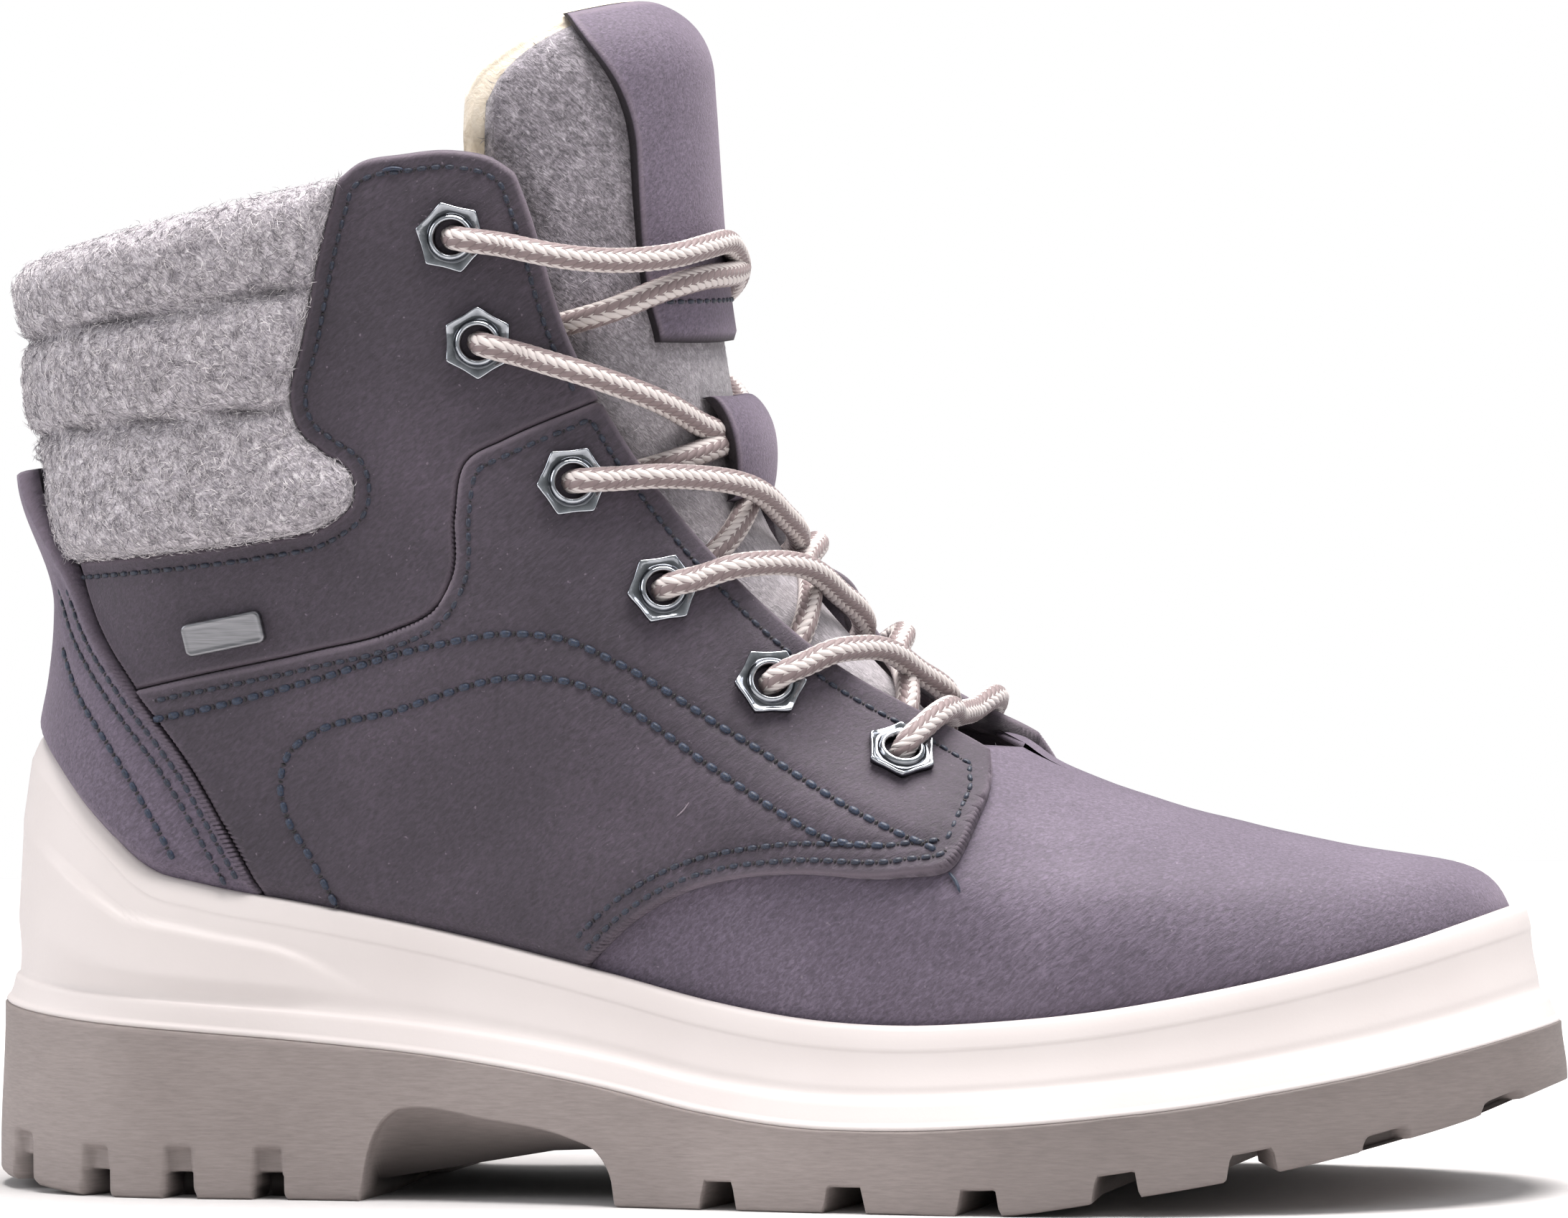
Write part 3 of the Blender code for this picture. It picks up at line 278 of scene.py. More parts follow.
# materials: one function for colours, one for nodes
def hexColour(text):
    # sRGB hex to linear light by the standard curve
    raw = np.array([int(text[i:i + 2], 16) for i in (1, 3, 5)]) / 255
    return tuple(np.where(raw <= 0.04045, raw / 12.92, ((raw + 0.055) / 1.055) ** 2.4)) + (1.0,)


def addNode(tree, kind, settings=None, links=None):
    # one node: settings are properties or socket values, links feed its sockets
    node = tree.nodes.new("ShaderNode" + kind)
    for key, value in (settings or {}).items():
        if isinstance(key, str) and hasattr(node, key):
            setattr(node, key, value)
        else:
            node.inputs[key].default_value = value
    for key, source in (links or {}).items():
        tree.links.new(source, node.inputs[key])
    return node


def newFinish(name, **sockets):
    # Principled material with its sockets set, and the object's coordinates
    finish = bpy.data.materials.new(name)
    finish.use_nodes = True
    tree = finish.node_tree
    shader = tree.nodes["Principled BSDF"]
    for key, value in sockets.items():
        shader.inputs[key.replace("_", " ")].default_value = value
    place = addNode(tree, "TexCoord").outputs["Object"]
    return finish, tree, shader, place


def ramp(tree, source, stops):
    # source turned into colours or greys between stops of place and tone
    node = addNode(tree, "ValToRGB", links={"Fac": source})
    while len(node.color_ramp.elements) < len(stops):
        node.color_ramp.elements.new(0.5)
    for element, (at, colour) in zip(node.color_ramp.elements, stops):
        element.position = at
        element.color = hexColour(colour) if isinstance(colour, str) else (colour, colour, colour, 1)
    return node.outputs["Color"]


def grain(tree, place, size, turn=(0, 0, 0), stretch=(1, 1, 1), detail=2.0, rough=0.55, warp=0.0):
    # noise with a real grain size in millimetres, stretched by factors along its own axes
    scale = tuple(size * s / 1000 for s in stretch)
    at = addNode(tree, "Mapping", {"vector_type": "TEXTURE", "Rotation": turn, "Scale": scale},
                 {"Vector": place}).outputs["Vector"]
    return addNode(tree, "TexNoise", {"Scale": 1.0, "Detail": detail, "Roughness": rough, "Distortion": warp},
                   {"Vector": at}).outputs["Fac"]


def setInput(tree, node, index, source):
    # number, hex colour or another node's output into one socket
    if isinstance(source, (int, float)):
        node.inputs[index].default_value = source
    elif isinstance(source, str):
        node.inputs[index].default_value = hexColour(source)
    else:
        tree.links.new(source, node.inputs[index])


def blendColour(tree, factor, first, second, mode="MIX"):
    # two colours mixed by a factor
    node = addNode(tree, "Mix", {"data_type": "RGBA", "blend_type": mode})
    for index, source in ((0, factor), (6, first), (7, second)):
        setInput(tree, node, index, source)
    return node.outputs[2]


def pointTone(tree, name):
    # tone kept on the mesh's points
    return addNode(tree, "Attribute", {"attribute_name": name}).outputs["Fac"]


def addBump(tree, shader, heights):
    # chain of bumps: (height source, depth in millimetres, strength)
    normal = None
    for source, depth, strength in heights:
        links = {"Height": source}
        if normal:
            links["Normal"] = normal
        node = addNode(tree, "Bump", {"Strength": strength, "Distance": depth * 0.001}, links)
        normal = node.outputs["Normal"]
    tree.links.new(normal, shader.inputs["Normal"])


def makeNubuck(name, dark, mid, pale):
    # oiled nubuck, sanded on the grain side: cloudy tone, short slanted nap strokes, rims rubbed paler
    # and given a painted highlight, and a dull sheen
    finish, tree, shader, place = newFinish(name, Roughness=0.75, Sheen_Roughness=0.5,
                                            Sheen_Tint=hexColour("#d8ccdb"))
    cloud = grain(tree, place, 34, detail=4.0)
    nap = grain(tree, place, 0.55, turn=(0, -0.65, 0.3), stretch=(3.4, 1, 0.9), detail=3.0, rough=0.65,
                warp=0.5)
    speck = grain(tree, place, 0.9, detail=1.0)
    tone = ramp(tree, cloud, ((0.3, dark), (0.5, mid), (0.72, pale)))
    tone = blendColour(tree, 0.75, tone, ramp(tree, nap, ((0.3, 0.22), (0.5, 0.48), (0.72, 0.84))), "OVERLAY")
    tone = blendColour(tree, ramp(tree, speck, ((0.74, 0.0), (0.8, 0.4))), tone, "#8f8491")
    # rims paler: rubbed nap and a painted highlight on the rounded edge
    wearAndHighlight = pointTone(tree, "edgeWearAndHighlight")
    tone = blendColour(tree, ramp(tree, wearAndHighlight, ((0.0, 0.0), (1.0, 0.5))), tone, "#7b707b")
    edge = pointTone(tree, "cutEdgeAndShade")
    tone = blendColour(tree, edge, tone, "#2a252b")
    tree.links.new(ramp(tree, edge, ((0.0, 0.3), (1.0, 0.0))), shader.inputs["Sheen Weight"])
    tree.links.new(tone, shader.inputs["Base Color"])
    tree.links.new(ramp(tree, nap, ((0.2, 0.66), (0.8, 0.84))), shader.inputs["Roughness"])
    addBump(tree, shader, ((nap, 0.22, 0.7), (grain(tree, place, 0.4, detail=2.0), 0.1, 0.6)))
    return finish


def makeFelt(name, dark, mid, pale):
    # pressed wool felt: a grey bed of fine light and dark clouds, with painted shade in its sewn grooves and
    # low in the throat, and paler where light is painted on
    finish, tree, shader, place = newFinish(name, Roughness=0.95, Sheen_Weight=0.3, Sheen_Roughness=0.6)
    cloud = grain(tree, place, 1.6, detail=4.0, rough=0.65, warp=0.8)
    hair = grain(tree, place, 0.45, turn=(0.3, 0.7, 0.4), stretch=(4, 1, 1), detail=2.0, warp=1.5)
    tone = ramp(tree, cloud, ((0.3, dark), (0.5, mid), (0.7, pale)))
    tone = blendColour(tree, 0.8, tone, ramp(tree, hair, ((0.34, 0.2), (0.66, 0.8))), "OVERLAY")
    groove = pointTone(tree, "cutEdgeAndShade")
    litPatch = pointTone(tree, "paintedLightWool")
    # painted light: paler below the tongue's strip
    tone = blendColour(tree, ramp(tree, litPatch, ((0.0, 0.0), (1.0, 0.2))), tone, "#d6d2d4")
    # painted shade in the sewn grooves and low down in the throat
    tone = blendColour(tree, groove, tone, "#38353b")
    tree.links.new(tone, shader.inputs["Base Color"])
    addBump(tree, shader, ((cloud, 0.5, 0.6), (hair, 0.3, 0.6)))
    return finish


def makeFibre(name, dark, mid, pale):
    # loose wool hairs on the felt: each has one tone from dark grey to near white
    finish, tree, shader, place = newFinish(name, Roughness=0.8, Sheen_Weight=0.2)
    tone = pointTone(tree, "fibreTone")
    tree.links.new(ramp(tree, tone, ((0.1, dark), (0.5, mid), (0.9, pale))), shader.inputs["Base Color"])
    return finish


def makeFleece(name, dark, mid, pale):
    # wool fleece: cream pile in small curled tufts, soft and without gloss
    finish, tree, shader, place = newFinish(name, Roughness=0.95, Sheen_Weight=0.3, Sheen_Roughness=0.5)
    tuft = grain(tree, place, 2.2, detail=4.0, rough=0.7, warp=1.2)
    tone = ramp(tree, tuft, ((0.25, dark), (0.5, mid), (0.75, pale)))
    tree.links.new(tone, shader.inputs["Base Color"])
    addBump(tree, shader, ((tuft, 0.5, 0.5), (grain(tree, place, 0.6, detail=3.0), 0.2, 0.5)))
    return finish


def makeFoam(name):
    # moulded midsole rubber: off-white with a rose tinge, satin, faint flow marks
    finish, tree, shader, place = newFinish(name, Roughness=0.5)
    cloud = grain(tree, place, 45, detail=2.0)
    tree.links.new(ramp(tree, cloud, ((0.3, "#cfc8c6"), (0.7, "#d6d0ce"))), shader.inputs["Base Color"])
    fine = grain(tree, place, 0.7, detail=2.0)
    tree.links.new(ramp(tree, fine, ((0.3, 0.45), (0.7, 0.58))), shader.inputs["Roughness"])
    addBump(tree, shader, ((fine, 0.03, 0.4),))
    return finish


def makeTread(name):
    # moulded outsole rubber: taupe, its side buffed lengthwise so fine level streaks show
    finish, tree, shader, place = newFinish(name, Roughness=0.68)
    streak = grain(tree, place, 0.4, stretch=(9, 9, 1), detail=3.0, rough=0.65, warp=0.2)
    cloud = grain(tree, place, 30, detail=2.0)
    tone = ramp(tree, cloud, ((0.3, "#877e7b"), (0.7, "#918885")))
    tone = blendColour(tree, 0.4, tone, ramp(tree, streak, ((0.3, 0.36), (0.7, 0.64))), "OVERLAY")
    # painted shade in the notches, the heel's grooves, under the arch and towards the toe
    under = pointTone(tree, "underShade")
    tone = blendColour(tree, under, tone, "#332e2d")
    tree.links.new(tone, shader.inputs["Base Color"])
    addBump(tree, shader, ((streak, 0.06, 0.4),))
    return finish


def makeMetal(name, dark, pale, rough, streakSize, stretch):
    # plated die-cast metal: dark grey, polished or brushed, with soft smears in the gloss
    finish, tree, shader, place = newFinish(name, Metallic=1.0, Roughness=rough)
    streak = grain(tree, place, streakSize, stretch=stretch, detail=2.0)
    tone = ramp(tree, streak, ((0.3, dark), (0.7, pale)))
    # eyelets darker ring by ring on their bore, grooves and flange sides: painted shade and dark painted
    # reflections, with some tarnish in the hollows
    hollow = pointTone(tree, "shadeAndTarnish")
    tree.links.new(blendColour(tree, hollow, tone, "#22252b"), shader.inputs["Base Color"])
    tree.links.new(ramp(tree, streak, ((0.3, rough * 0.8), (0.7, rough * 1.3))), shader.inputs["Roughness"])
    addBump(tree, shader, ((streak, 0.02, 0.3),))
    return finish


def calc(tree, operation, first, second=0.0):
    # one arithmetic node on two numbers or sources
    node = addNode(tree, "Math", {"operation": operation})
    for index, source in enumerate((first, second)):
        setInput(tree, node, index, source)
    return node.outputs[0]


def makeLace(name):
    # round polyester braid: columns of slanted yarn bundles, white and mauve-grey by turns, silky and knurled
    finish, tree, shader, place = newFinish(name, Roughness=0.6, Sheen_Weight=0.2, Sheen_Roughness=0.35)
    plan = addNode(tree, "SeparateXYZ", links={0: addNode(tree, "TexCoord").outputs["UV"]})
    column, run = plan.outputs[0], plan.outputs[1]
    local = calc(tree, "FRACT", column)
    odd = calc(tree, "MODULO", calc(tree, "FLOOR", column), 2.0)
    slant = calc(tree, "SUBTRACT", 1.0, calc(tree, "MULTIPLY", odd, 2.0))
    sweep = calc(tree, "MULTIPLY", calc(tree, "MULTIPLY", slant, 0.7), local)
    phase = calc(tree, "FRACT", calc(tree, "ADD", run, sweep))
    tooth = calc(tree, "MULTIPLY", calc(tree, "MULTIPLY", slant, 0.5), calc(tree, "SUBTRACT", phase, 0.5))
    band = calc(tree, "SINE", calc(tree, "MULTIPLY", calc(tree, "ADD", column, tooth), np.pi))
    bundle = calc(tree, "MULTIPLY", calc(tree, "SINE", calc(tree, "MULTIPLY", phase, np.pi)),
                  calc(tree, "SQRT", calc(tree, "ABSOLUTE", band)))
    stripe = calc(tree, "ADD", calc(tree, "MULTIPLY", band, 2.0), 0.5)
    colour = ramp(tree, stripe, ((0.35, "#867777"), (0.65, "#d3cbc8")))
    # painted shade between the yarn bundles
    colour = blendColour(tree, ramp(tree, bundle, ((0.0, 0.35), (0.35, 0.0))), colour, "#857876", "MULTIPLY")
    tree.links.new(colour, shader.inputs["Base Color"])
    addBump(tree, shader, ((bundle, 0.28, 0.7), (grain(tree, place, 0.25, detail=2.0), 0.08, 0.5)))
    return finish


def makeThread(name, colour, pale):
    # bonded sewing thread: navy, two plies, a little waxy
    finish, tree, shader, place = newFinish(name, Roughness=0.5, Sheen_Weight=0.1)
    ply = grain(tree, place, 0.35, detail=2.0)
    tree.links.new(ramp(tree, ply, ((0.35, colour), (0.7, pale))), shader.inputs["Base Color"])
    addBump(tree, shader, ((ply, 0.08, 0.6),))
    return finish


nubuck = makeNubuck("oiledNubuck", "#363039", "#3f3842", "#49414c")
# paler copy for the vamp, heel counter, tongue strip and keeper: partly a paler leather, partly painted light from
# the front and top
litPaleNubuck = makeNubuck("paleLitNubuck", "#534b59", "#5b5261", "#645b6a")
felt = makeFelt("woolFelt", "#8a858d", "#b2adb3", "#d2cdd2")
# darker copy of the felt for the tongue: painted shade
shadedTongueWool = makeFelt("tongueFelt", "#5b575e", "#7d787f", "#a09ba2")
hair = makeFibre("woolHair", "#6a666e", "#bbb6bb", "#faf6f7")
# darker copy of the hairs for the tongue: painted shade
shadedTongueHair = makeFibre("shadedTongueWoolHair", "#423e45", "#8a858c", "#dedadd")
pile = makeFibre("fleecePile", "#d8caae", "#f0e7d4", "#fdf9f0")
fleece = makeFleece("woolFleece", "#dccfb6", "#efe6d4", "#faf5ea")
# darker copy of the fleece for the tongue's border: painted shade against the strong top light
shadedTongueCream = makeFleece("tongueFleece", "#d4c8b4", "#e2d7c5", "#ece4d6")
foam = makeFoam("mouldedMidsoleRubber")
tread = makeTread("buffedOutsoleRubber")
gunmetal = makeMetal("polishedGunmetal", "#a4a9b0", "#c3c8ce", 0.14, 1.5, (1, 1, 1))
pewter = makeMetal("brushedPewter", "#76777b", "#96979b", 0.36, 0.25, (24, 24, 1))
braid = makeLace("polyesterBraid")
thread = makeThread("navyThread", "#181c28", "#2b3549")
blueThread = makeThread("blueThread", "#171f2e", "#2a3952")
# near black for the needle holes and the wells behind the eyelets: painted shade
holeShade = makeThread("holeShade", "#100e13", "#17141a")
scuff = makeThread("rubbedNubuck", "#7d727c", "#8d828c")
print("materials ready")


# side-view outlines of the panels, each from its upper end
throat = smoothPath(((103.5, 192), (108.9, 177.2), (116.4, 151), (126.3, 131), (142.2, 110), (159.2, 94),
                     (177.6, 82.5), (187.1, 77)))
quarterTop = smoothPath(((120, 141.2), (105, 134.7), (98.6, 131.2), (96.4, 122), (95.8, 111), (92.5, 105.2),
                         (84, 101), (69.7, 97.6), (45.8, 92.7), (35, 90.2)))
counterEdge = smoothPath(((17.8, 129.6), (20, 121), (22.6, 113), (27, 102), (35, 90.2), (42.3, 80.8),
                          (53.6, 61.7), (57.6, 54.4)))
feltEdge = smoothPath(((76.4, 181), (73, 169.8), (69.2, 153.1), (66.6, 140.9), (68, 136.6), (72.5, 132.6),
                       (77.4, 129), (77.6, 124), (72.5, 120), (60.3, 117.2), (48, 115.6), (22.6, 113)))
shaftTop = smoothPath(((76.4, 181), (79.8, 183.6), (88, 185.2), (97, 185.8), (103.5, 184.4), (107, 182)))
vampSeam = smoothPath(((187.1, 77), (189.2, 73), (188.8, 66), (186.3, 59.4), (178, 57.9), (156.6, 58.4),
                       (146.6, 57.4), (137.8, 55), (128.2, 49.8), (119.6, 42.4)))


def between(path, high, low):
    # part of a path between two heights
    return path[(path[:, 1] <= high) & (path[:, 1] >= low)]


def rimPath(fromX, toX, clearance):
    # path along the midsole's rim, set above or below it
    x = np.linspace(fromX, toX, int(abs(toX - fromX)) + 2)
    return np.column_stack([x, soleLine("rim", x) + clearance])


# leather panels: net of points inside an outline on the last, raised by a height rule, with a skirt below
panelForm = {"net": 1.5, "rowShare": 0.87, "chartTurn": 165.0, "chartLevel": 17.5, "round": 0.95,
             "roundPower": 2.2, "insets": (0.12, 0.35, 0.75, 1.25), "outlineStep": 0.9, "insetKeep": 0.85,
             "netClear": 0.6, "edgeShade": 0.2, "shadeReach": 0.3, "underShade": 0.5, "wearAt": 0.4,
             "wearWidth": 0.55}


def closedOutline(level, turn):
    # outline in level and turn, sampled evenly along its real length
    level, turn = np.append(level, level[0]), np.append(turn, turn[0])
    run = runLength(lastSurface(level, turn))
    keep = np.append(True, np.diff(run) > 1e-4)
    at = np.linspace(0, run[-1], int(run[-1] / panelForm["outlineStep"]), endpoint=False)
    return np.interp(at, run[keep], level[keep]), np.interp(at, run[keep], turn[keep])


def insideOutline(points, outline):
    # crossing count of a level ray with the outline's pieces
    nextPoint = np.roll(outline, -1, axis=0)
    inside = np.zeros(len(points), bool)
    for (ax, ay), (bx, by) in zip(outline, nextPoint):
        spans = (ay > points[:, 1]) != (by > points[:, 1])
        if spans.any():
            inside ^= spans & (points[:, 0] < (bx - ax) * (points[:, 1] - ay) / (by - ay + 1e-12) + ax)
    return inside


def panelNet(level, turn):
    # triangles inside an outline: its own points, rows close inside it and an even net between
    chart = lambda l, t: np.column_stack([t * panelForm["chartTurn"], l * panelForm["chartLevel"]])
    level, turn = closedOutline(level, turn)
    edge = lastSurface(level, turn)
    outline = chart(level, turn)
    up, ahead = lastSlopes(level, turn)
    tangent = unit(np.roll(edge, -1, axis=0) - np.roll(edge, 1, axis=0))
    inward = np.cross(lastNormal(level, turn), tangent)
    uu, aa, ua = (up * up).sum(-1), (ahead * ahead).sum(-1), (up * ahead).sum(-1)
    iu, ia = (inward * up).sum(-1), (inward * ahead).sum(-1)
    det = np.maximum(uu * aa - ua * ua, 1e-6)
    moveLevel, moveTurn = (iu * aa - ia * ua) / det, (ia * uu - iu * ua) / det
    probe = chart(level + moveLevel * 0.5, turn + moveTurn * 0.5)
    sign = 1.0 if insideOutline(probe, outline).mean() > 0.5 else -1.0
    rows = [(level, turn)]
    for inset in panelForm["insets"]:
        insetLevel, insetTurn = level + sign * inset * moveLevel, turn + sign * inset * moveTurn
        good = distanceToPath(lastSurface(insetLevel, insetTurn), edge, True) > panelForm["insetKeep"] * inset
        good &= insideOutline(chart(insetLevel, insetTurn), outline)
        rows.append((insetLevel[good], insetTurn[good]))
    low, high = outline.min(axis=0), outline.max(axis=0)
    step = panelForm["net"]
    u, v = np.meshgrid(np.arange(low[0], high[0], step),
                       np.arange(low[1], high[1], step * panelForm["rowShare"]))
    u = u + (np.arange(u.shape[0]) % 2)[:, None] * step / 2
    net = np.column_stack([u.ravel(), v.ravel()])
    net = net[insideOutline(net, outline)]
    netLevel, netTurn = net[:, 1] / panelForm["chartLevel"], net[:, 0] / panelForm["chartTurn"]
    clear = panelForm["insets"][-1] + panelForm["netClear"]
    far = distanceToPath(lastSurface(netLevel, netTurn), edge, True) > clear
    rows.append((netLevel[far], netTurn[far]))
    allLevel, allTurn = (np.concatenate(part) for part in zip(*rows))
    spots = [Vector(spot) for spot in chart(allLevel, allTurn)]
    ring = [(i, (i + 1) % len(level)) for i in range(len(level))]
    made = delaunay_2d_cdt(spots, ring, [], 1, 1e-7)
    flat = np.array([tuple(spot) for spot in made[0]])
    corners = np.array([face for face in made[2]])
    origin = np.array([first[0] if first else -1 for first in made[3]])
    place = np.full(len(level), -1)
    rimVerts = np.flatnonzero((origin >= 0) & (origin < len(level)))
    place[origin[rimVerts]] = rimVerts
    rim = place[place >= 0]
    return flat[:, 1] / panelForm["chartLevel"], flat[:, 0] / panelForm["chartTurn"], corners, rim, edge


sheets = {}    # outer sheet of the felt pieces, for their fibres


def plainShade(reach, level, turn):
    # cut edges are a little darker
    return panelForm["edgeShade"] * np.clip(1 - reach / panelForm["shadeReach"], 0, 1)


def addPanel(name, outline, heightRule, base, finish, stands=(), liftRule=None, shadeRule=plainShade,
             seatRule=None):
    # closed panel: top sheet by the height rule of the distance to its edge, skirt, and flat under side
    level, turn, corners, rim, edge = panelNet(*outline)
    ground = lastSurface(level, turn)
    reach = distanceToPath(ground, edge, True)
    reach[rim] = 0
    lift = liftRule(ground, turn) if liftRule else 0
    top = onLast(level, turn, heightRule(reach, ground, level, turn) + lift)
    under = onLast(level, turn, base + lift + (seatRule(ground) if seatRule else 0))
    count = len(level)
    up, ahead = top[corners[:, 1]] - top[corners[:, 0]], top[corners[:, 2]] - top[corners[:, 0]]
    outward = (np.cross(up, ahead) * lastNormal(level, turn)[corners[:, 0]]).sum(-1)
    corners = np.where((outward > 0)[:, None], corners, corners[:, ::-1])
    nextRim = np.roll(rim, -1)
    skirt = np.column_stack([rim, nextRim, nextRim + count, rim + count])
    shade = shadeRule(reach, level, turn)
    cutEdgeAndShade = np.concatenate([shade, np.maximum(shade, panelForm["underShade"])])
    # rubbed nap and painted highlight: paler a little inside the rim
    wearAndHighlight = np.exp(-((reach - panelForm["wearAt"]) / panelForm["wearWidth"]) ** 2)
    wearAndHighlight = np.concatenate([wearAndHighlight, np.zeros(count)])
    sheets[name] = (top, corners)
    return addPiece(name, np.concatenate([top, under]), [corners, corners[:, ::-1] + count, skirt], finish,
                    stands, {"cutEdgeAndShade": cutEdgeAndShade, "edgeWearAndHighlight": wearAndHighlight}, weld=True)


def roundedHeight(reach, base, outer):
    # height over a panel's rounded edge
    return base + (outer - base) * quarterRound(reach, panelForm["round"], panelForm["roundPower"])


# how the leather thins at the rim, and how far from an edge creases and seams begin
leatherForm = {"base": 0.3, "tuckLeast": 0.3, "tuckRest": 0.7, "tuckBelow": 0.5, "tuckOver": 4, "softFrom": 0.5,
               "softOver": 4, "seamFrom": 1.2}


def rimTuck(ground):
    # leather thins where it goes down behind the midsole's lip
    above = ground[:, 2] - soleLine("rim", ground[:, 0]) + leatherForm["tuckBelow"]
    return leatherForm["tuckLeast"] + leatherForm["tuckRest"] * smoothStep(above / leatherForm["tuckOver"])


# soft troughs and ridges of the leather: side-view place, direction, half length, half width, height
creases = ((150, 58, -25, 20, 4.5, -0.5), (128, 66, -38, 16, 4, -0.35), (96, 60, 12, 18, 5, -0.4),
           (86, 84, 70, 14, 5, 0.4), (112, 112, 62, 16, 5, 0.45), (200, 62, 62, 13, 5, -0.4),
           (222, 58, 66, 11, 5, 0.35), (168, 52, -8, 18, 4, 0.4), (90, 140, 80, 20, 6, 0.4))


def creaseHeight(ground):
    # sum of long bell shapes
    height = np.zeros(len(ground))
    for x, z, angle, length, width, depth in creases:
        along = np.array([np.cos(np.radians(angle)), np.sin(np.radians(angle))])
        gap = ground[:, [0, 2]] - (x, z)
        run, side = gap @ along, gap @ np.array([-along[1], along[0]])
        height += depth * np.exp(-(run / length) ** 2 - (side / width) ** 2)
    return height


# seams: every row is a side-view path on a layer; pitch and thread in millimetres
seamForm = {"trough": 0.42, "troughWidth": 1.05, "knots": 2.5, "crowd": 0.12, "blueFrom": 1.1, "rise": 0.1,
            "thinSoft": 0.65}
layerTop = {"vamp": 0.0, "shaft": 1.7, "quarter": 2.8, "counter": 3.9}
blueArch = smoothPath(((38.5, 84.9), (54.3, 88.6), (69.5, 92.6), (91.9, 98.6), (107.7, 100.6), (115.5, 99.5),
                       (124.3, 95.5), (144.8, 82.4), (167.4, 68.7), (184.5, 60.9)))
blueLoop = smoothPath(((72, 52), (67.5, 60.6), (63.2, 68.1), (62.2, 73.8), (64, 79.3), (69, 83), (83, 86.8),
                       (110.3, 92.9), (117.9, 91.7), (127.3, 87), (141.8, 76.9), (154.9, 68.8), (165.3, 63.6),
                       (176, 62.2)))
frontEdge = vampSeam[(vampSeam[:, 0] > 183) & (vampSeam[:, 1] > 59.6)]
lowerEdge = vampSeam[vampSeam[:, 1] < 59.8]


def rowInside(edges, insets):
    # one seam row inside several edges in turn: inset paths, cut where they come too near another edge
    path = np.vstack([insetPath(edge, inset) for edge, inset in zip(edges, insets)])
    least = min(abs(inset) for inset in insets) - seamForm["crowd"]
    path = path[distanceToPath(path, np.vstack(edges)) > least]
    run = runLength(path)
    return smoothPath(alongPath(path, run, np.linspace(0, run[-1], int(run[-1] / seamForm["knots"]))))


# rows of each layer: path, pitch, thread size; blue rows have the thicker thread
counterRow = smoothPath(((20.8, 96.9), (24.7, 88.9), (30.9, 80.2), (36.6, 71.2), (41.1, 62.9), (43.5, 57.9)))
seams = {
    "quarter": [(rowInside([between(quarterTop, 141.3, 91)[::-1], between(throat, 141.3, 77), frontEdge],
                           (-2.7, -3.0, -3.2)), 2.5, 0.9),
                (insetPath(lowerEdge, -2.2), 2.5, 1.0), (insetPath(lowerEdge, -4.8), 2.5, 1.0),
                (blueArch, 3.1, 1.3), (blueLoop, 3.1, 1.3)],
    "shaft": [(rowInside([feltEdge[::-1], shaftTop, between(throat, 182, 142)], (-3.0, -3.0, -3.0)), 2.5, 0.9)],
    "counter": [(insetPath(between(counterEdge, 112, 57), -2.0), 2.5, 1.0),
                (insetPath(between(counterEdge, 110, 57), -4.4), 2.5, 1.0),
                (counterRow, 2.8, 1.2)],
}
seamPlaces = {layer: [(sidePlace(path), pitch, size) for path, pitch, size in rows]
              for layer, rows in seams.items()}


def seamTrough(ground, layer, side):
    # thread pulls the leather down along each row
    depth = np.zeros(len(ground))
    for (level, turn), pitch, size in seamPlaces[layer]:
        for each in ((-1, 1) if side == 0 else (side,)):
            reach = distanceToPath(ground, lastSurface(level, each * turn))
            depth = np.maximum(depth, np.exp(-(reach / seamForm["troughWidth"]) ** 2))
    return seamForm["trough"] * depth


def leatherRule(layer, side):
    # rounded edge, thinned at the rim, with creases and seam troughs away from the edge; side 0 is both sides
    base = leatherForm["base"]

    def rule(reach, ground, level, turn):
        height = roundedHeight(reach, base, layerTop[layer])
        height = base + (height - base) * rimTuck(ground)
        soft = smoothStep((reach - leatherForm["softFrom"]) / leatherForm["softOver"])
        sewn = smoothStep(reach / leatherForm["seamFrom"])
        return height + soft * creaseHeight(ground) - sewn * seamTrough(ground, layer, side)
    return rule


tabForm = {"lift": 5.2, "fromZ": 104, "overZ": 24, "toX": 34, "overX": 10}


def tabLift(ground, turn):
    # tab of the heel counter stands straight up behind the felt
    high = smoothStep((ground[:, 2] - tabForm["fromZ"]) / tabForm["overZ"])
    return tabForm["lift"] * high * smoothStep((tabForm["toX"] - ground[:, 0]) / tabForm["overX"])


# places where the facing's edge curls up between the pulls of the lace: height, half length, rise
facingCurls = {1: ((119.5, 5.5, 4.8), (104, 5.5, 4.8), (78, 5, 1.2)), -1: ((139, 9, 0.6), (98, 9, 0.5))}
facingForm = {"curlReach": 5.5, "seat": -1.9, "seatReach": 2.6, "seatOver": 1.2, "rawReach": 1.5,
              "rawEdge": 0.4, "plain": 0.2}


def throatReach(ground):
    # side-view distance to the throat's edge
    return distanceToPath(ground[:, [0, 2]], throat[::4])


def facingLift(ground, turn):
    # sum of bell shapes along the facing that die away from its edge
    reach = throatReach(ground)
    lift = np.zeros(len(ground))
    for side, curls in facingCurls.items():
        for z, half, rise in curls:
            bell = np.exp(-((ground[:, 2] - z) / half) ** 2 - (reach / facingForm["curlReach"]) ** 2)
            lift += rise * bell * (np.sign(turn) == side)
    return lift


def facingSeat(ground):
    # along the throat the cut edge shows leather and backing as one thickness
    near = (facingForm["seatReach"] - throatReach(ground)) / facingForm["seatOver"]
    return facingForm["seat"] * smoothStep(near)


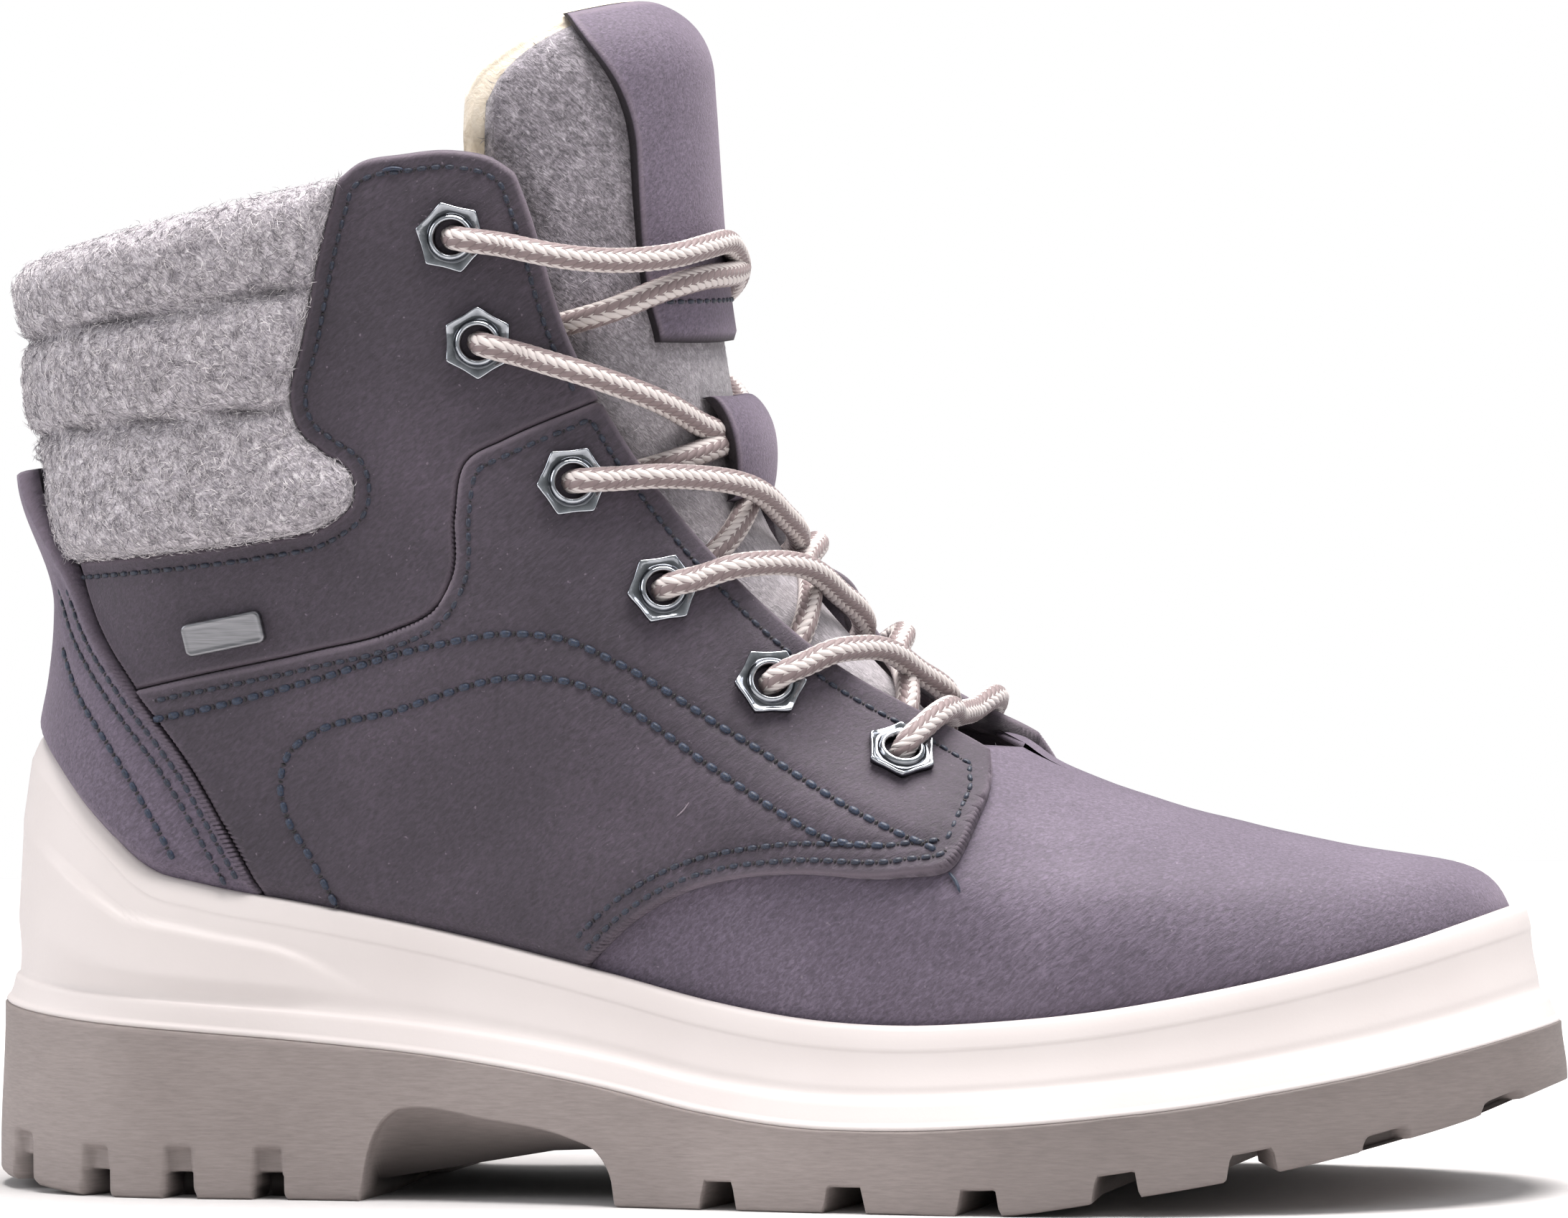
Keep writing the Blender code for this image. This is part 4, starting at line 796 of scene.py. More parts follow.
def facingShade(reach, level, turn):
    # raw cut edge is dark on the far facing, where the suede side turns up
    near = throatReach(lastSurface(level, turn)) < facingForm["rawReach"]
    shade = np.where(near & (turn > 0), 1.0, facingForm["plain"])
    return np.clip(1 - reach / facingForm["rawEdge"], 0, 1) * shade


quarterLoop = np.vstack([between(throat, 141.2, 77), vampSeam, rimPath(118, 59, -2.0),
                         between(counterEdge, 90.2, 54.4)[::-1], quarterTop[::-1]])
shaftLoop = np.vstack([shaftTop, between(throat, 182, 141.2), quarterTop, between(counterEdge, 113, 90.2)[::-1],
                       feltEdge[::-1]])
for sideName, side in (("lateral", -1), ("medial", 1)):
    for layer, loop in (("quarter", quarterLoop), ("shaft", shaftLoop)):
        level, turn = sidePlace(loop)
        addPanel(layer + sideName.capitalize(), (level, side * turn), leatherRule(layer, side),
                 leatherForm["base"], nubuck, (layer + "_" + sideName,), facingLift, facingShade,
                 facingSeat)
counterHalf = np.vstack([counterEdge, rimPath(57, 12, -2.0)])
level, turn = sidePlace(counterHalf)
backTop = 6.92    # level of the tab's top at the back line
counterLevel = np.concatenate([[backTop], level, [level[-1]], level[::-1]])
counterTurn = np.concatenate([[0], -turn, [0], turn[::-1]])
addPanel("heelCounter", (counterLevel, counterTurn), leatherRule("counter", 0), leatherForm["base"],
         litPaleNubuck, ("heel_counter",), tabLift)
print("leather panels ready")


# vamp and backing: tube of rings with the throat left out, leather outside and fleece inside
throatForm = {"foot": 79.5, "liningFoot": 73.0, "endX": 178, "fromTurn": 0.35, "turns": 400,
              "topLevel": 8.8}


def throatGap(level, foot=throatForm["foot"]):
    # share of the ring cut away on each side of the ridge, where the throat crosses that level
    turns = np.linspace(throatForm["fromTurn"], 1, throatForm["turns"])
    ring = lastSurface(level[:, None], turns[None])
    x, z = ring[..., 0], ring[..., 2]
    ahead = x - np.interp(z, throat[::-1, 1], throat[::-1, 0], left=1e3)
    ahead = np.where(z < foot, -1.0, np.where(z < throatForm["foot"], x - throatForm["endX"], ahead))
    has = (ahead > 0).any(axis=1)
    i = np.maximum(np.argmax(ahead > 0, axis=1), 1)
    rows = np.arange(len(level))
    a, b = ahead[rows, i - 1], ahead[rows, i]
    cross = turns[i - 1] + (turns[i] - turns[i - 1]) * np.clip(-a / np.where(b - a == 0, 1, b - a), 0, 1)
    return np.where(has, 1 - cross, 0)


wallForm = {"columns": 121, "spread": 150, "edgeMost": 9, "edgeReach": 0.6, "innerShade": 0.7, "pileFrom": 0.7,
            "crease": 0.8, "creaseFrom": 0.8, "creaseOver": 0.6, "leather": -1.3, "liningOut": -1.4,
            "liningIn": -3.0, "lump": 0.22, "trim": 0.014, "liningTrim": 0.075}


def addWall(name, levels, trim, outer, inner, finish, stands=(), foot=throatForm["foot"]):
    # closed wall between two offsets, open in front where the throat is
    gap = throatGap(levels, foot)
    gap = np.where(gap > 0, np.minimum(gap + trim, 1), 0)
    even = np.linspace(-1, 1, wallForm["columns"])
    across = np.sin(even * np.pi / 2) * 0.5 + even * 0.5
    turns = across[None] * (1 - gap[:, None])
    grid = np.broadcast_to(levels[:, None], turns.shape)
    lift = facingLift(lastSurface(grid, turns).reshape(-1, 3), turns.ravel()).reshape(grid.shape)
    wall = [onLast(grid, turns, offset(grid, turns) + lift) for offset in (outer, inner)]
    rows, columns = turns.shape
    count = rows * columns
    faces = gridFaces(rows, columns)
    low, high = np.arange(columns), np.arange(columns) + (rows - 1) * columns
    rim = [np.column_stack([low[:-1], low[1:], low[1:] + count, low[:-1] + count]),
           np.column_stack([high[:-1], high[:-1] + count, high[1:] + count, high[1:]])]
    openRows = np.flatnonzero(gap[1:] > 0)
    start = openRows * columns
    end = start + columns - 1
    rim += [np.column_stack([start, start + count, start + count + columns, start + columns]),
            np.column_stack([end, end + columns, end + count + columns, end + count])]
    most = wallForm["edgeMost"]
    edgeReach = np.minimum((1 - np.abs(across))[None] * wallForm["spread"] + most * (gap[:, None] == 0), most)
    edge = np.clip(1 - edgeReach / wallForm["edgeReach"], 0, 1) * (gap[:, None] > 0)
    cutEdgeAndShade = np.concatenate([edge.ravel(), np.full(count, wallForm["innerShade"])])
    inside = faces[(np.arange(len(faces)) // (columns - 1)) > wallForm["pileFrom"] * rows][:, ::-1]
    sheets[name] = (wall[1].reshape(-1, 3), halves(inside))
    return addPiece(name, np.concatenate([sheet.reshape(-1, 3) for sheet in wall]),
                    [faces, faces[:, ::-1] + count] + rim, finish, stands, {"cutEdgeAndShade": cutEdgeAndShade},
                    weld=True)


wallLevels = np.concatenate([np.linspace(0, 4.4, 40), np.linspace(4.45, 5.3, 20), np.linspace(5.37, 8.86, 46)])


def vampRule(level, turn):
    # the leather's creases, dying away towards the sole
    crease = creaseHeight(lastSurface(level, turn).reshape(-1, 3)).reshape(level.shape)
    return crease * wallForm["crease"] * smoothStep((level - wallForm["creaseFrom"]) / wallForm["creaseOver"])


def evenOffset(offset):
    # the same offset all over
    return lambda level, turn: offset + 0 * level


def tuft(level, turn):
    # fleece bed: random lumps blurred over their neighbours
    lumps = chance.normal(0, 1.0, level.shape)
    for step in range(2):
        lumps = (lumps + sum(np.roll(lumps, k, axis) for k in (-1, 1) for axis in (0, 1))) / 3
    return wallForm["liningIn"] + wallForm["lump"] * lumps


addWall("vampLeather", wallLevels, wallForm["trim"], vampRule, evenOffset(wallForm["leather"]), litPaleNubuck,
        ("upper",))
addWall("fleeceLining", wallLevels, wallForm["liningTrim"], evenOffset(wallForm["liningOut"]), tuft, fleece,
        (), throatForm["liningFoot"])
print("vamp and lining ready")


# felt collar: padded rolls between sewn grooves, thin where it goes under the leather
feltForm = {"bottom": 5.4, "top": 9.05, "topBack": 9.0, "groovesBack": (7.17, 8.1), "groovesAhead": (7.5, 8.28),
            "aheadTurn": 0.45, "groove": 3.3, "roll": 6.6, "rollPower": 0.42, "edge": 0.5, "rise": 6.0,
            "risePower": 2.2, "cut": 1.2, "cutWidth": 0.045, "wave": 0.35, "shade": 0.5, "shadeWidth": 0.03,
            "base": 0.25}
feltLevel, feltTurn = sidePlace(feltEdge[::-1])
tabLevel, tabTurn = sidePlace(between(counterEdge, 129.6, 113))
topTurn = np.linspace(1, 0, 60) * feltTurn[-1]
topLevel = np.interp(topTurn, [0, feltTurn[-1]], [feltForm["topBack"], feltLevel[-1]])
halfLevel = np.concatenate([tabLevel, feltLevel, topLevel])
halfTurn = np.concatenate([tabTurn, feltTurn, topTurn])
feltOutline = (np.concatenate([[backTop], halfLevel, halfLevel[-2::-1]]),
               np.concatenate([[0], -halfTurn, halfTurn[-2::-1]]))


def feltGrooves(turn):
    # levels of the two grooves, straight from the back line to the front
    ahead = np.clip(np.abs(turn) / feltForm["aheadTurn"], 0, 1)
    return [back + (front - back) * ahead
            for back, front in zip(feltForm["groovesBack"], feltForm["groovesAhead"])]


def grooveNear(level, turn, width):
    # bell shapes over the two grooves
    low, high = feltGrooves(turn)
    return np.exp(-((level - low) / width) ** 2) + np.exp(-((level - high) / width) ** 2)


def feltRule(reach, ground, level, turn):
    # rolls swell as half sines between the grooves, and rise steeply from the panel edges
    low, high = feltGrooves(turn)
    ends = np.where(level < low, feltForm["bottom"], np.where(level < high, low, high))
    tops = np.where(level < low, low, np.where(level < high, high, feltForm["top"] + 0.1))
    swell = np.sin(np.pi * np.clip((level - ends) / (tops - ends), 0, 1)) ** feltForm["rollPower"]
    height = feltForm["groove"] + (feltForm["roll"] - feltForm["groove"]) * swell
    height = height - feltForm["cut"] * grooveNear(level, turn, feltForm["cutWidth"])
    puff = quarterRound(reach, feltForm["rise"], feltForm["risePower"])
    wave = feltForm["wave"] * np.sin(ground[:, 0] * 0.21 + level * 5) * np.sin(ground[:, 1] * 0.17 + level * 3)
    return feltForm["edge"] + (height + wave * swell - feltForm["edge"]) * puff


def feltShade(reach, level, turn):
    # the sewn grooves get painted shade
    return feltForm["shade"] * np.clip(grooveNear(level, turn, feltForm["shadeWidth"]), 0, 1)


feltCollar = addPanel("feltCollar", feltOutline, feltRule, feltForm["base"], felt, ("felt_collar",),
                      None, feltShade)


# loose fibres: least length share, bend, heights of middle and tip as rest and rise, girth, depth of the
# root, tones
fibreForm = {"least": 0.5, "bend": 0.12, "middle": (0.16, 0.4), "tip": (0.02, 0.55), "girth": (0.055, 0.035),
             "root": 0.1, "tone": (0.5, 0.24), "angles": (0, 2.094, 4.189)}


def addFibres(name, sheet, count, length, lean, finish, paler=None):
    # short spindles strewn over a sheet: three-sided, bent a little, lying nearly flat
    points, corners = sheet
    a, b, c = (points[corners[:, k]] for k in range(3))
    face = np.cross(b - a, c - a)
    area = np.linalg.norm(face, axis=1)
    pick = chance.choice(len(corners), count, p=area / area.sum())
    u, v = chance.random((2, count, 1))
    fold = u + v > 1
    u, v = np.where(fold, 1 - u, u), np.where(fold, 1 - v, v)
    root = a[pick] + u * (b - a)[pick] + v * (c - a)[pick]
    normal = unit(face[pick])
    direction = unit(np.cross(normal, unit(chance.normal(size=(count, 3)) + np.array(lean))))
    size = length * (fibreForm["least"] + chance.random((count, 1)))
    side = np.cross(normal, direction)
    bend = side * size * chance.normal(0, fibreForm["bend"], (count, 1))
    rise = chance.random((count, 1)) ** 2
    (middleRest, middleRise), (tipRest, tipRise) = fibreForm["middle"], fibreForm["tip"]
    middle = root + direction * size * 0.5 + bend + normal * (middleRest + middleRise * rise)
    tip = root + direction * size + normal * (tipRest + tipRise * rise ** 2)
    girth = fibreForm["girth"][0] + fibreForm["girth"][1] * chance.random((count, 1))
    belly = [middle + girth * (np.cos(angle) * normal + np.sin(angle) * side) for angle in fibreForm["angles"]]
    spindle = np.stack([root - fibreForm["root"] * normal, *belly, tip], axis=1)
    fan = np.array([(0, 2, 1), (0, 3, 2), (0, 1, 3), (4, 1, 2), (4, 2, 3), (4, 3, 1)])
    faces = (fan[None] + 5 * np.arange(count)[:, None, None]).reshape(-1, 3)
    tone = chance.normal(*fibreForm["tone"], count) + (paler(root[:, 2]) if paler else 0)
    tone = np.repeat(np.clip(tone, 0, 1), 5)
    return addPiece(name, spindle, faces, finish, (), {"fibreTone": tone})


addFibres("feltCollarHair", sheets["feltCollar"], 24000, 2.4, (0, 0, 0), hair)
addFibres("liningPile", sheets["fleeceLining"], 7000, 2.0, (0, 0, 0), pile)
print("felt collar ready")


# tongue: felt face over a fleece body that shows as a cream border, leather strip and lace keeper in front
tongueRear = smoothPath(((171, 66), (150, 80), (128, 102), (114.5, 128), (108, 155), (106.2, 178), (106.4, 193),
                         (107, 200)))
tongueForm = {"low": 3.9, "top": 9.74, "corner": 0.45, "cornerPower": 2.3, "drop": 0.62, "halfWide": 40,
              "high": 110, "front": -4.0, "deep": -5.6, "side": -8.4, "dome": 15.0, "domeFrom": 9.15,
              "domeTo": 9.86, "domeShare": 0.5, "thick": 4.0, "round": 2.5, "feltReach": 0.024, "fleeceReach": 0.049,
              "fleeceLow": 5.8, "fleeceLift": 0.11, "fleeceBack": 2.4, "fleeceThick": 6.5, "fleeceRound": 3.0,
              "fleeceLump": 0.1}
# where the tongue drops back: under the facings, up to the free top, and deeper along the middle of the throat
dropForm = {"under": 0.03, "underOver": 0.09, "free": 9.05, "freeOver": 0.25, "deepTop": 7.5,
            "deepTopOver": 0.7, "deepLow": 4.9, "deepLowOver": 0.5}


def addPad(name, place, front, back, edgeAndShadeRows, finish, stands=(), faceTones=None):
    # closed pad of two sheets at two heights over the ridge's levels and shares, joined by a skirt
    level, turn = place[0], ridgeTurn(place[1])
    face, under = (onLast(level, turn, height).reshape(-1, 3) for height in (front, back))
    rows, columns = level.shape
    count = rows * columns
    faces = gridFaces(rows, columns)
    loop = np.concatenate([np.arange(columns), np.arange(1, rows) * columns + columns - 1,
                           (rows - 1) * columns + np.arange(columns - 2, -1, -1),
                           np.arange(rows - 2, 0, -1) * columns])
    nextLoop = np.roll(loop, -1)
    skirt = np.column_stack([loop, nextLoop, nextLoop + count, loop + count])
    tones = {"cutEdgeAndShade": np.concatenate([edgeAndShadeRows.ravel(), edgeAndShadeRows.ravel()])}
    for toneName, values in (faceTones or {}).items():
        tones[toneName] = np.concatenate([values.ravel(), np.zeros(count)])
    sheets[name] = (face, halves(faces))
    return addPiece(name, np.concatenate([face, under]), [faces, faces[:, ::-1] + count, skirt], finish,
                    stands, tones, weld=True)


def tongueGrid(extra, lift, low, columns=61, rows=90):
    # columns across the ridge, rows from the vamp to a top with rounded corners
    w = np.linspace(-1, 1, columns)
    q = np.sin(np.linspace(0, 1, rows) * np.pi / 2)
    corner = np.clip((np.abs(w) - tongueForm["corner"]) / (1 - tongueForm["corner"]), 0, 0.995)
    power = tongueForm["cornerPower"]
    top = tongueForm["top"] - tongueForm["drop"] * (1 - (1 - corner ** power) ** (1 / power))
    level = low + q[:, None] * (top[None] + lift - low)
    rearLevel, rearTurn = sidePlace(tongueRear)
    order = np.argsort(rearLevel)
    reach = 1 - np.interp(level, rearLevel[order], rearTurn[order]) + extra
    share = w[None] * reach
    edge = np.minimum((1 - np.abs(w)[None]) * tongueForm["halfWide"], (1 - q[:, None]) * tongueForm["high"])
    return level, share, edge, np.minimum(level, top[None])


def padHeights(edge, front, thick, roundness):
    # heights of both faces, which meet in a half circle at the edge
    left = np.clip(1 - edge / roundness, 0, 1)
    puff = np.sqrt(np.clip(1 - left ** 2, 0, 1))
    return front - thick * 0.5 * (1 - puff), front - thick * 0.5 * (1 + puff)


def domeFall(level, share):
    # top of the tongue rounds back as a quarter ellipse near the ridge
    s = np.clip((level - tongueForm["domeFrom"]) / (tongueForm["domeTo"] - tongueForm["domeFrom"]), 0, 1)
    return tongueForm["dome"] * (1 - np.sqrt(1 - s ** 2)) * np.exp(-(share / tongueForm["domeShare"]) ** 2)


def tongueFront(level, share):
    # the tongue drops back under the facings to make room for the lace there
    gap = throatGap(np.clip(level.ravel(), 0, throatForm["topLevel"])).reshape(level.shape)
    under = smoothStep((np.abs(share) - gap + dropForm["under"]) / dropForm["underOver"])
    under = under * smoothStep((dropForm["free"] - level) / dropForm["freeOver"])
    deep = smoothStep((dropForm["deepTop"] - level) / dropForm["deepTopOver"])
    deep = deep * smoothStep((level - dropForm["deepLow"]) / dropForm["deepLowOver"])
    front = tongueForm["front"] + (tongueForm["deep"] - tongueForm["front"]) * deep
    return front + (tongueForm["side"] - front) * under - domeFall(level, share)


level, share, edge, capped = tongueGrid(tongueForm["feltReach"], 0.0, tongueForm["low"])
front, back = padHeights(edge, tongueFront(level, share), tongueForm["thick"], tongueForm["round"])
# painted shadow down in the throat, painted light below the strip
tongueFelt = addPad("tongueFelt", (level, share), front, back, 0.9 * smoothStep((5.0 - level) / 0.5),
                    shadedTongueWool, ("tongue",), {"paintedLightWool": smoothStep((8.2 - level) / 0.6)})
# the hairs paler lower down the tongue: painted light
addFibres("tongueFeltHair", sheets["tongueFelt"], 13000, 2.4, (0.4, 0, 0), shadedTongueHair,
          lambda z: 0.12 * smoothStep((150 - z) / 18))
level, share, edge, capped = tongueGrid(tongueForm["fleeceReach"], tongueForm["fleeceLift"],
                                        tongueForm["fleeceLow"])
front, back = padHeights(edge, tongueFront(capped, share) - tongueForm["fleeceBack"], tongueForm["fleeceThick"],
                         tongueForm["fleeceRound"])
lump = tongueForm["fleeceLump"] * np.sin(level * 31 + share * 40) * np.sin(share * 77 - level * 9)
tongueFleece = addPad("tongueFleece", (level, share), front + lump, back + lump, np.zeros(level.shape),
                      shadedTongueCream)

# leather straps on the tongue: thickness share at the cut edge and beyond it, rounding, raw edge, wear and painted
# highlight
strapForm = {"round": 0.7, "roundPower": 2.4, "rawEdge": 0.05, "wearAt": 0.5, "wearWidth": 0.5}


def addStrap(name, place, seat, edge, thick, edgeShares, stands):
    # two faces apart by the thickness, less at the rounded edge
    least, rest = edgeShares
    rounded = thick * (least + rest * quarterRound(edge, strapForm["round"], strapForm["roundPower"]))
    wearAndHighlight = np.exp(-((edge - strapForm["wearAt"]) / strapForm["wearWidth"]) ** 2)
    addPad(name, place, seat + rounded, seat, np.clip(1 - edge / strapForm["rawEdge"], 0, 1), litPaleNubuck,
           stands, {"edgeWearAndHighlight": wearAndHighlight})


stripForm = {"low": 7.9, "top": 9.83, "share": 0.168, "flare": 0.06, "flareFrom": 0.45, "flareOver": 0.55,
             "footIn": 0.01, "footOver": 0.1, "wide": 28, "high": 58, "curl": 0.7, "curlPower": 6,
             "curlFrom": 0.2, "curlOver": 0.3, "seat": -4.4, "thick": 2.9, "edgeShares": (0.75, 0.25)}
w, q = np.sin(np.linspace(-1, 1, 41) * np.pi / 2), np.sin(np.linspace(0, 1, 70) * np.pi / 2)[:, None]
level = np.broadcast_to(stripForm["low"] + q * (stripForm["top"] - stripForm["low"]), (len(q), len(w)))
flare = stripForm["flare"] * smoothStep((q - stripForm["flareFrom"]) / stripForm["flareOver"])
share = w[None] * (stripForm["share"] + flare - stripForm["footIn"] * np.exp(-(q / stripForm["footOver"]) ** 2))
edge = np.minimum((1 - np.abs(w))[None] * stripForm["wide"], np.minimum(q, 1 - q) * stripForm["high"])
lift = stripForm["curl"] * np.clip(np.abs(w)[None], 0, 1) ** stripForm["curlPower"]
lift = lift * smoothStep((q - stripForm["curlFrom"]) / stripForm["curlOver"]) - domeFall(level, share)
addStrap("tongueStrip", (level, share), stripForm["seat"] + lift, edge, stripForm["thick"],
         stripForm["edgeShares"], ("tongue_strip",))

loopForm = {"low": 7.02, "top": 7.6, "share": 0.087, "wide": 13.5, "seat": 0.1, "bulge": 3.6, "early": 1.15,
            "power": 0.5, "thick": 2.5, "edgeShares": (0.7, 0.3)}
w, q = np.sin(np.linspace(-1, 1, 31) * np.pi / 2), np.linspace(0, 1, 60)[:, None]
level = np.broadcast_to(loopForm["low"] + q * (loopForm["top"] - loopForm["low"]), (len(q), len(w)))
share = np.broadcast_to(w[None] * loopForm["share"], level.shape)
bulge = loopForm["bulge"] * np.sin(np.pi * q ** loopForm["early"]) ** loopForm["power"]
stand = tongueFront(level, 0 * share) + loopForm["seat"] + bulge
edge = np.broadcast_to((1 - np.abs(w))[None] * loopForm["wide"], level.shape)
addStrap("laceKeeper", (level, share), stand, edge, loopForm["thick"], loopForm["edgeShares"], ("tongue_loop",))
print("tongue ready")


# seams: each stitch is a short swollen tube that dips into a needle hole at both ends, a dark blob of painted shade
def addSeams(name, rows, finish, shape):
    # rows of (points, normals, pitch, size); shape gives radius and height along a stitch
    rings, sides = shape["rings"], shape["sides"]
    spots = []
    for points, normals, pitch, size in rows:
        run = runLength(points)
        count = max(int(run[-1] / pitch), 1)
        t = np.linspace(0, 1, rings)
        at = (np.arange(count)[:, None] + shape["start"] + shape["fill"] * t[None]) * pitch
        spine, out = alongPath(points, run, at), unit(alongPath(normals, run, at))
        along = unit(np.gradient(spine, axis=1))
        across = np.cross(out, along)
        swell = np.sqrt(np.clip(1 - np.abs(2 * t - 1) ** 3, 0, 1))
        spine = spine + out * ((swell - 1) * shape["sink"] + shape["lift"])[None, :, None]
        angle = circle(sides)[:, None]
        reach = shape["radius"] * size * np.maximum(swell, shape["tip"])
        ring = np.cos(angle) * across[..., None, :] + shape["flat"] * np.sin(angle) * out[..., None, :]
        spots.append((spine[..., None, :] + reach[None, :, None, None] * ring).reshape(-1, rings * sides, 3))
    spots = np.concatenate(spots)
    tube = gridFaces(rings, sides, True)
    caps = [np.arange(sides)[None], (np.arange(sides)[::-1] + (rings - 1) * sides)[None]]
    shift = (np.arange(len(spots)) * rings * sides)[:, None, None]
    faces = [(block[None] + shift).reshape(-1, block.shape[1]) for block in [tube] + caps]
    return addPiece(name, spots, faces, finish)


def stripRow(level, share, height, pitch, size):
    # row of points and normals on the tongue's strip
    turn = ridgeTurn(share)
    height = stripForm["seat"] + stripForm["thick"] + height
    return onLast(level, turn, height), lastNormal(level, turn), pitch, size


seamRows, blueRows = [], []
for layer, rows in seamPlaces.items():
    for (level, turn), pitch, size in rows:
        blue = size > seamForm["blueFrom"]
        for side in (-1, 1):
            ground = lastSurface(level, side * turn)
            soft = creaseHeight(ground) * (1.0 if blue else seamForm["thinSoft"])
            soft = soft + (facingLift(ground, side * turn) if layer != "counter" else 0)
            height = layerTop[layer] - seamForm["trough"] + seamForm["rise"] + soft
            (blueRows if blue else seamRows).append((onLast(level, side * turn, height),
                                                     lastNormal(level, side * turn), pitch, size))
seamRows.append(stripRow(np.full(40, 8.1), np.linspace(-0.145, 0.145, 40), -0.1, 2.5, 0.9))
# a stitch or mark: where in the pitch it starts, how much it fills, radius, depth of the ends, lift, mesh
stitch = {"start": 0.1, "fill": 0.8, "radius": 0.5, "sink": 0.5, "lift": 0.16, "rings": 7, "sides": 6,
          "tip": 0.05, "flat": 0.75}
puncture = {**stitch, "start": -0.14, "fill": 0.28, "radius": 0.46, "sink": 0.25, "lift": -0.06, "rings": 4,
            "sides": 5}
addSeams("seamThread", seamRows, thread, stitch)
addSeams("blueThread", blueRows, blueThread, stitch)
addSeams("needleHoles", seamRows + blueRows, holeShade, puncture)


def markRows(marks):
    # single strokes on a layer: two side-view ends, height over the layer, thickness
    rows = []
    for layer, ends, height, size in marks:
        level, turn = sidePlace(smoothPath(ends, 0.3))
        length = np.linalg.norm(np.subtract(ends[-1], ends[0]))
        rows.append((onLast(level, -turn, layerTop[layer] + height), lastNormal(level, -turn), length * 0.98,
                     size))
    return rows


# loose thread ends and pale scratches of the lateral side
stroke = {**stitch, "start": 0.0, "fill": 1.0, "radius": 0.4, "sink": 0.1, "lift": 0.0, "rings": 12, "sides": 5}
looseEnds = (("vamp", ((185.8, 58.9), (187.4, 57.1), (188.5, 54.9)), 0.5, 0.9),
             ("shaft", ((84.6, 182.4), (86.6, 182.7), (88.6, 182.5)), 0.2, 1.0))
scratches = (("shaft", ((87.3, 120.1), (89.4, 121.9), (90.8, 124.0)), -0.02, 0.5),
             ("quarter", ((116.2, 112.4), (117.1, 114.0), (117.7, 115.8)), -0.02, 0.4),
             ("quarter", ((137.0, 68.4), (138.4, 69.6), (139.5, 71.2)), -0.02, 0.35),
             ("shaft", ((90.4, 161.2), (91.0, 162.4), (91.4, 163.4)), -0.02, 0.4))
stripMark = stripRow(np.linspace(8.72, 9.0, 20), np.linspace(-0.145, -0.115, 20), 0.04, 7.0, 0.4)
addSeams("threadEnds", markRows(looseEnds), blueThread, stroke)
addSeams("scuffMarks", [stripMark] + markRows(scratches), scuff, stroke)
print("seams ready")


# sole: plan ring of the last set outwards, side profiles in millimetres below the rim and above the seam
soleForm = {"turns": 420, "heelFlare": 0.33, "toeFlare": 0.08, "cup": 0.8}


def solePlan(turns):
    # plan ring of the last and its outward normals
    ring = lastSurface(1.0, turns)[:, :2]
    ahead = np.roll(ring, -1, axis=0) - np.roll(ring, 1, axis=0)
    normal = unit(np.column_stack([ahead[:, 1], -ahead[:, 0]]))
    return ring, normal * np.sign((normal * (ring - ring.mean(axis=0))).sum(-1).mean())


def outsetRing(plan, outset):
    # plan ring moved outwards, further towards heel and toe
    ring, normal = plan
    flare = np.where(normal[:, 0] > 0, soleForm["toeFlare"], soleForm["heelFlare"])
    reach = outset * (1 + flare * normal[:, 0] ** 2)
    return ring + reach[:, None] * normal


def rimLevels(turn):
    # level where the last meets the midsole's rim, by halving
    low, high = np.zeros_like(turn), np.full_like(turn, 5.0)
    for step in range(40):
        middle = (low + high) / 2
        point = lastSurface(middle, turn)
        below = point[:, 2] < soleLine("rim", point[:, 0])
        low, high = np.where(below, middle, low), np.where(below, high, middle)
    return (low + high) / 2


# midsole side: part of the side, millimetres or share within it, outset
lipRows = ((0.0, 1.0), (0.1, 1.8), (0.4, 2.35), (1.0, 2.65), (2.5, 3.0), (3.8, 3.26), (4.2, 3.3), (4.45, 3.26))
faceRows = [(share, smoothThrough((0, 0.35, 0.7, 0.94, 1.0), (3.2, 3.6, 4.3, 4.85, 5.3), share))
            for share in np.linspace(0, 1, 30)]
bandRows = ((4.9, 5.75), (4.6, 6.0), (4.0, 6.25), (2.6, 6.8), (1.5, 7.25), (1.05, 7.4), (0.9, 7.7), (0.45, 7.9),
            (0.0, 7.7))
# raised wing at the heel: its lower border; the plain back stands flush with it
wingLine = ((8, 70), (13.1, 65.1), (23.2, 57.5), (33, 50.2), (50.6, 46.6), (61, 44.8), (66.2, 43.1), (80, 36))
midsoleForm = {"cupShares": (0.02, 0.3, 0.65, 0.9, 1.0), "seamOutset": 7.7, "faceTop": 4.6, "faceFoot": 5.2,
               "bulge": 1.7, "bulgeFrom": 40, "bulgeTo": 95, "bulgeGain": 1.2, "bulgeFade": 0.12, "wing": 1.2,
               "wingEdge": 1.5, "wingEnd": 82, "wingOver": 22, "wingFoot": 5, "backEnd": 13, "backOver": 14,
               "plainEnd": 32, "plainOver": 16, "plainFrom": 4, "plainOutset": 3.36}
soleTurns = np.linspace(-1, 1, soleForm["turns"], endpoint=False)
midsolePlan = solePlan(soleTurns)
rim = rimLevels(soleTurns)
cupRings = [onLast(rim * share, soleTurns, soleForm["cup"]) for share in midsoleForm["cupShares"]]
rimX = cupRings[-1][:, 0]
rimZ = soleLine("rim", rimX)
seamZ = soleLine("seam", outsetRing(midsolePlan, midsoleForm["seamOutset"])[:, 0])
heelSwell = midsoleForm["bulge"] * smoothStep((midsoleForm["bulgeTo"] - rimX)
                                              / (midsoleForm["bulgeTo"] - midsoleForm["bulgeFrom"]))
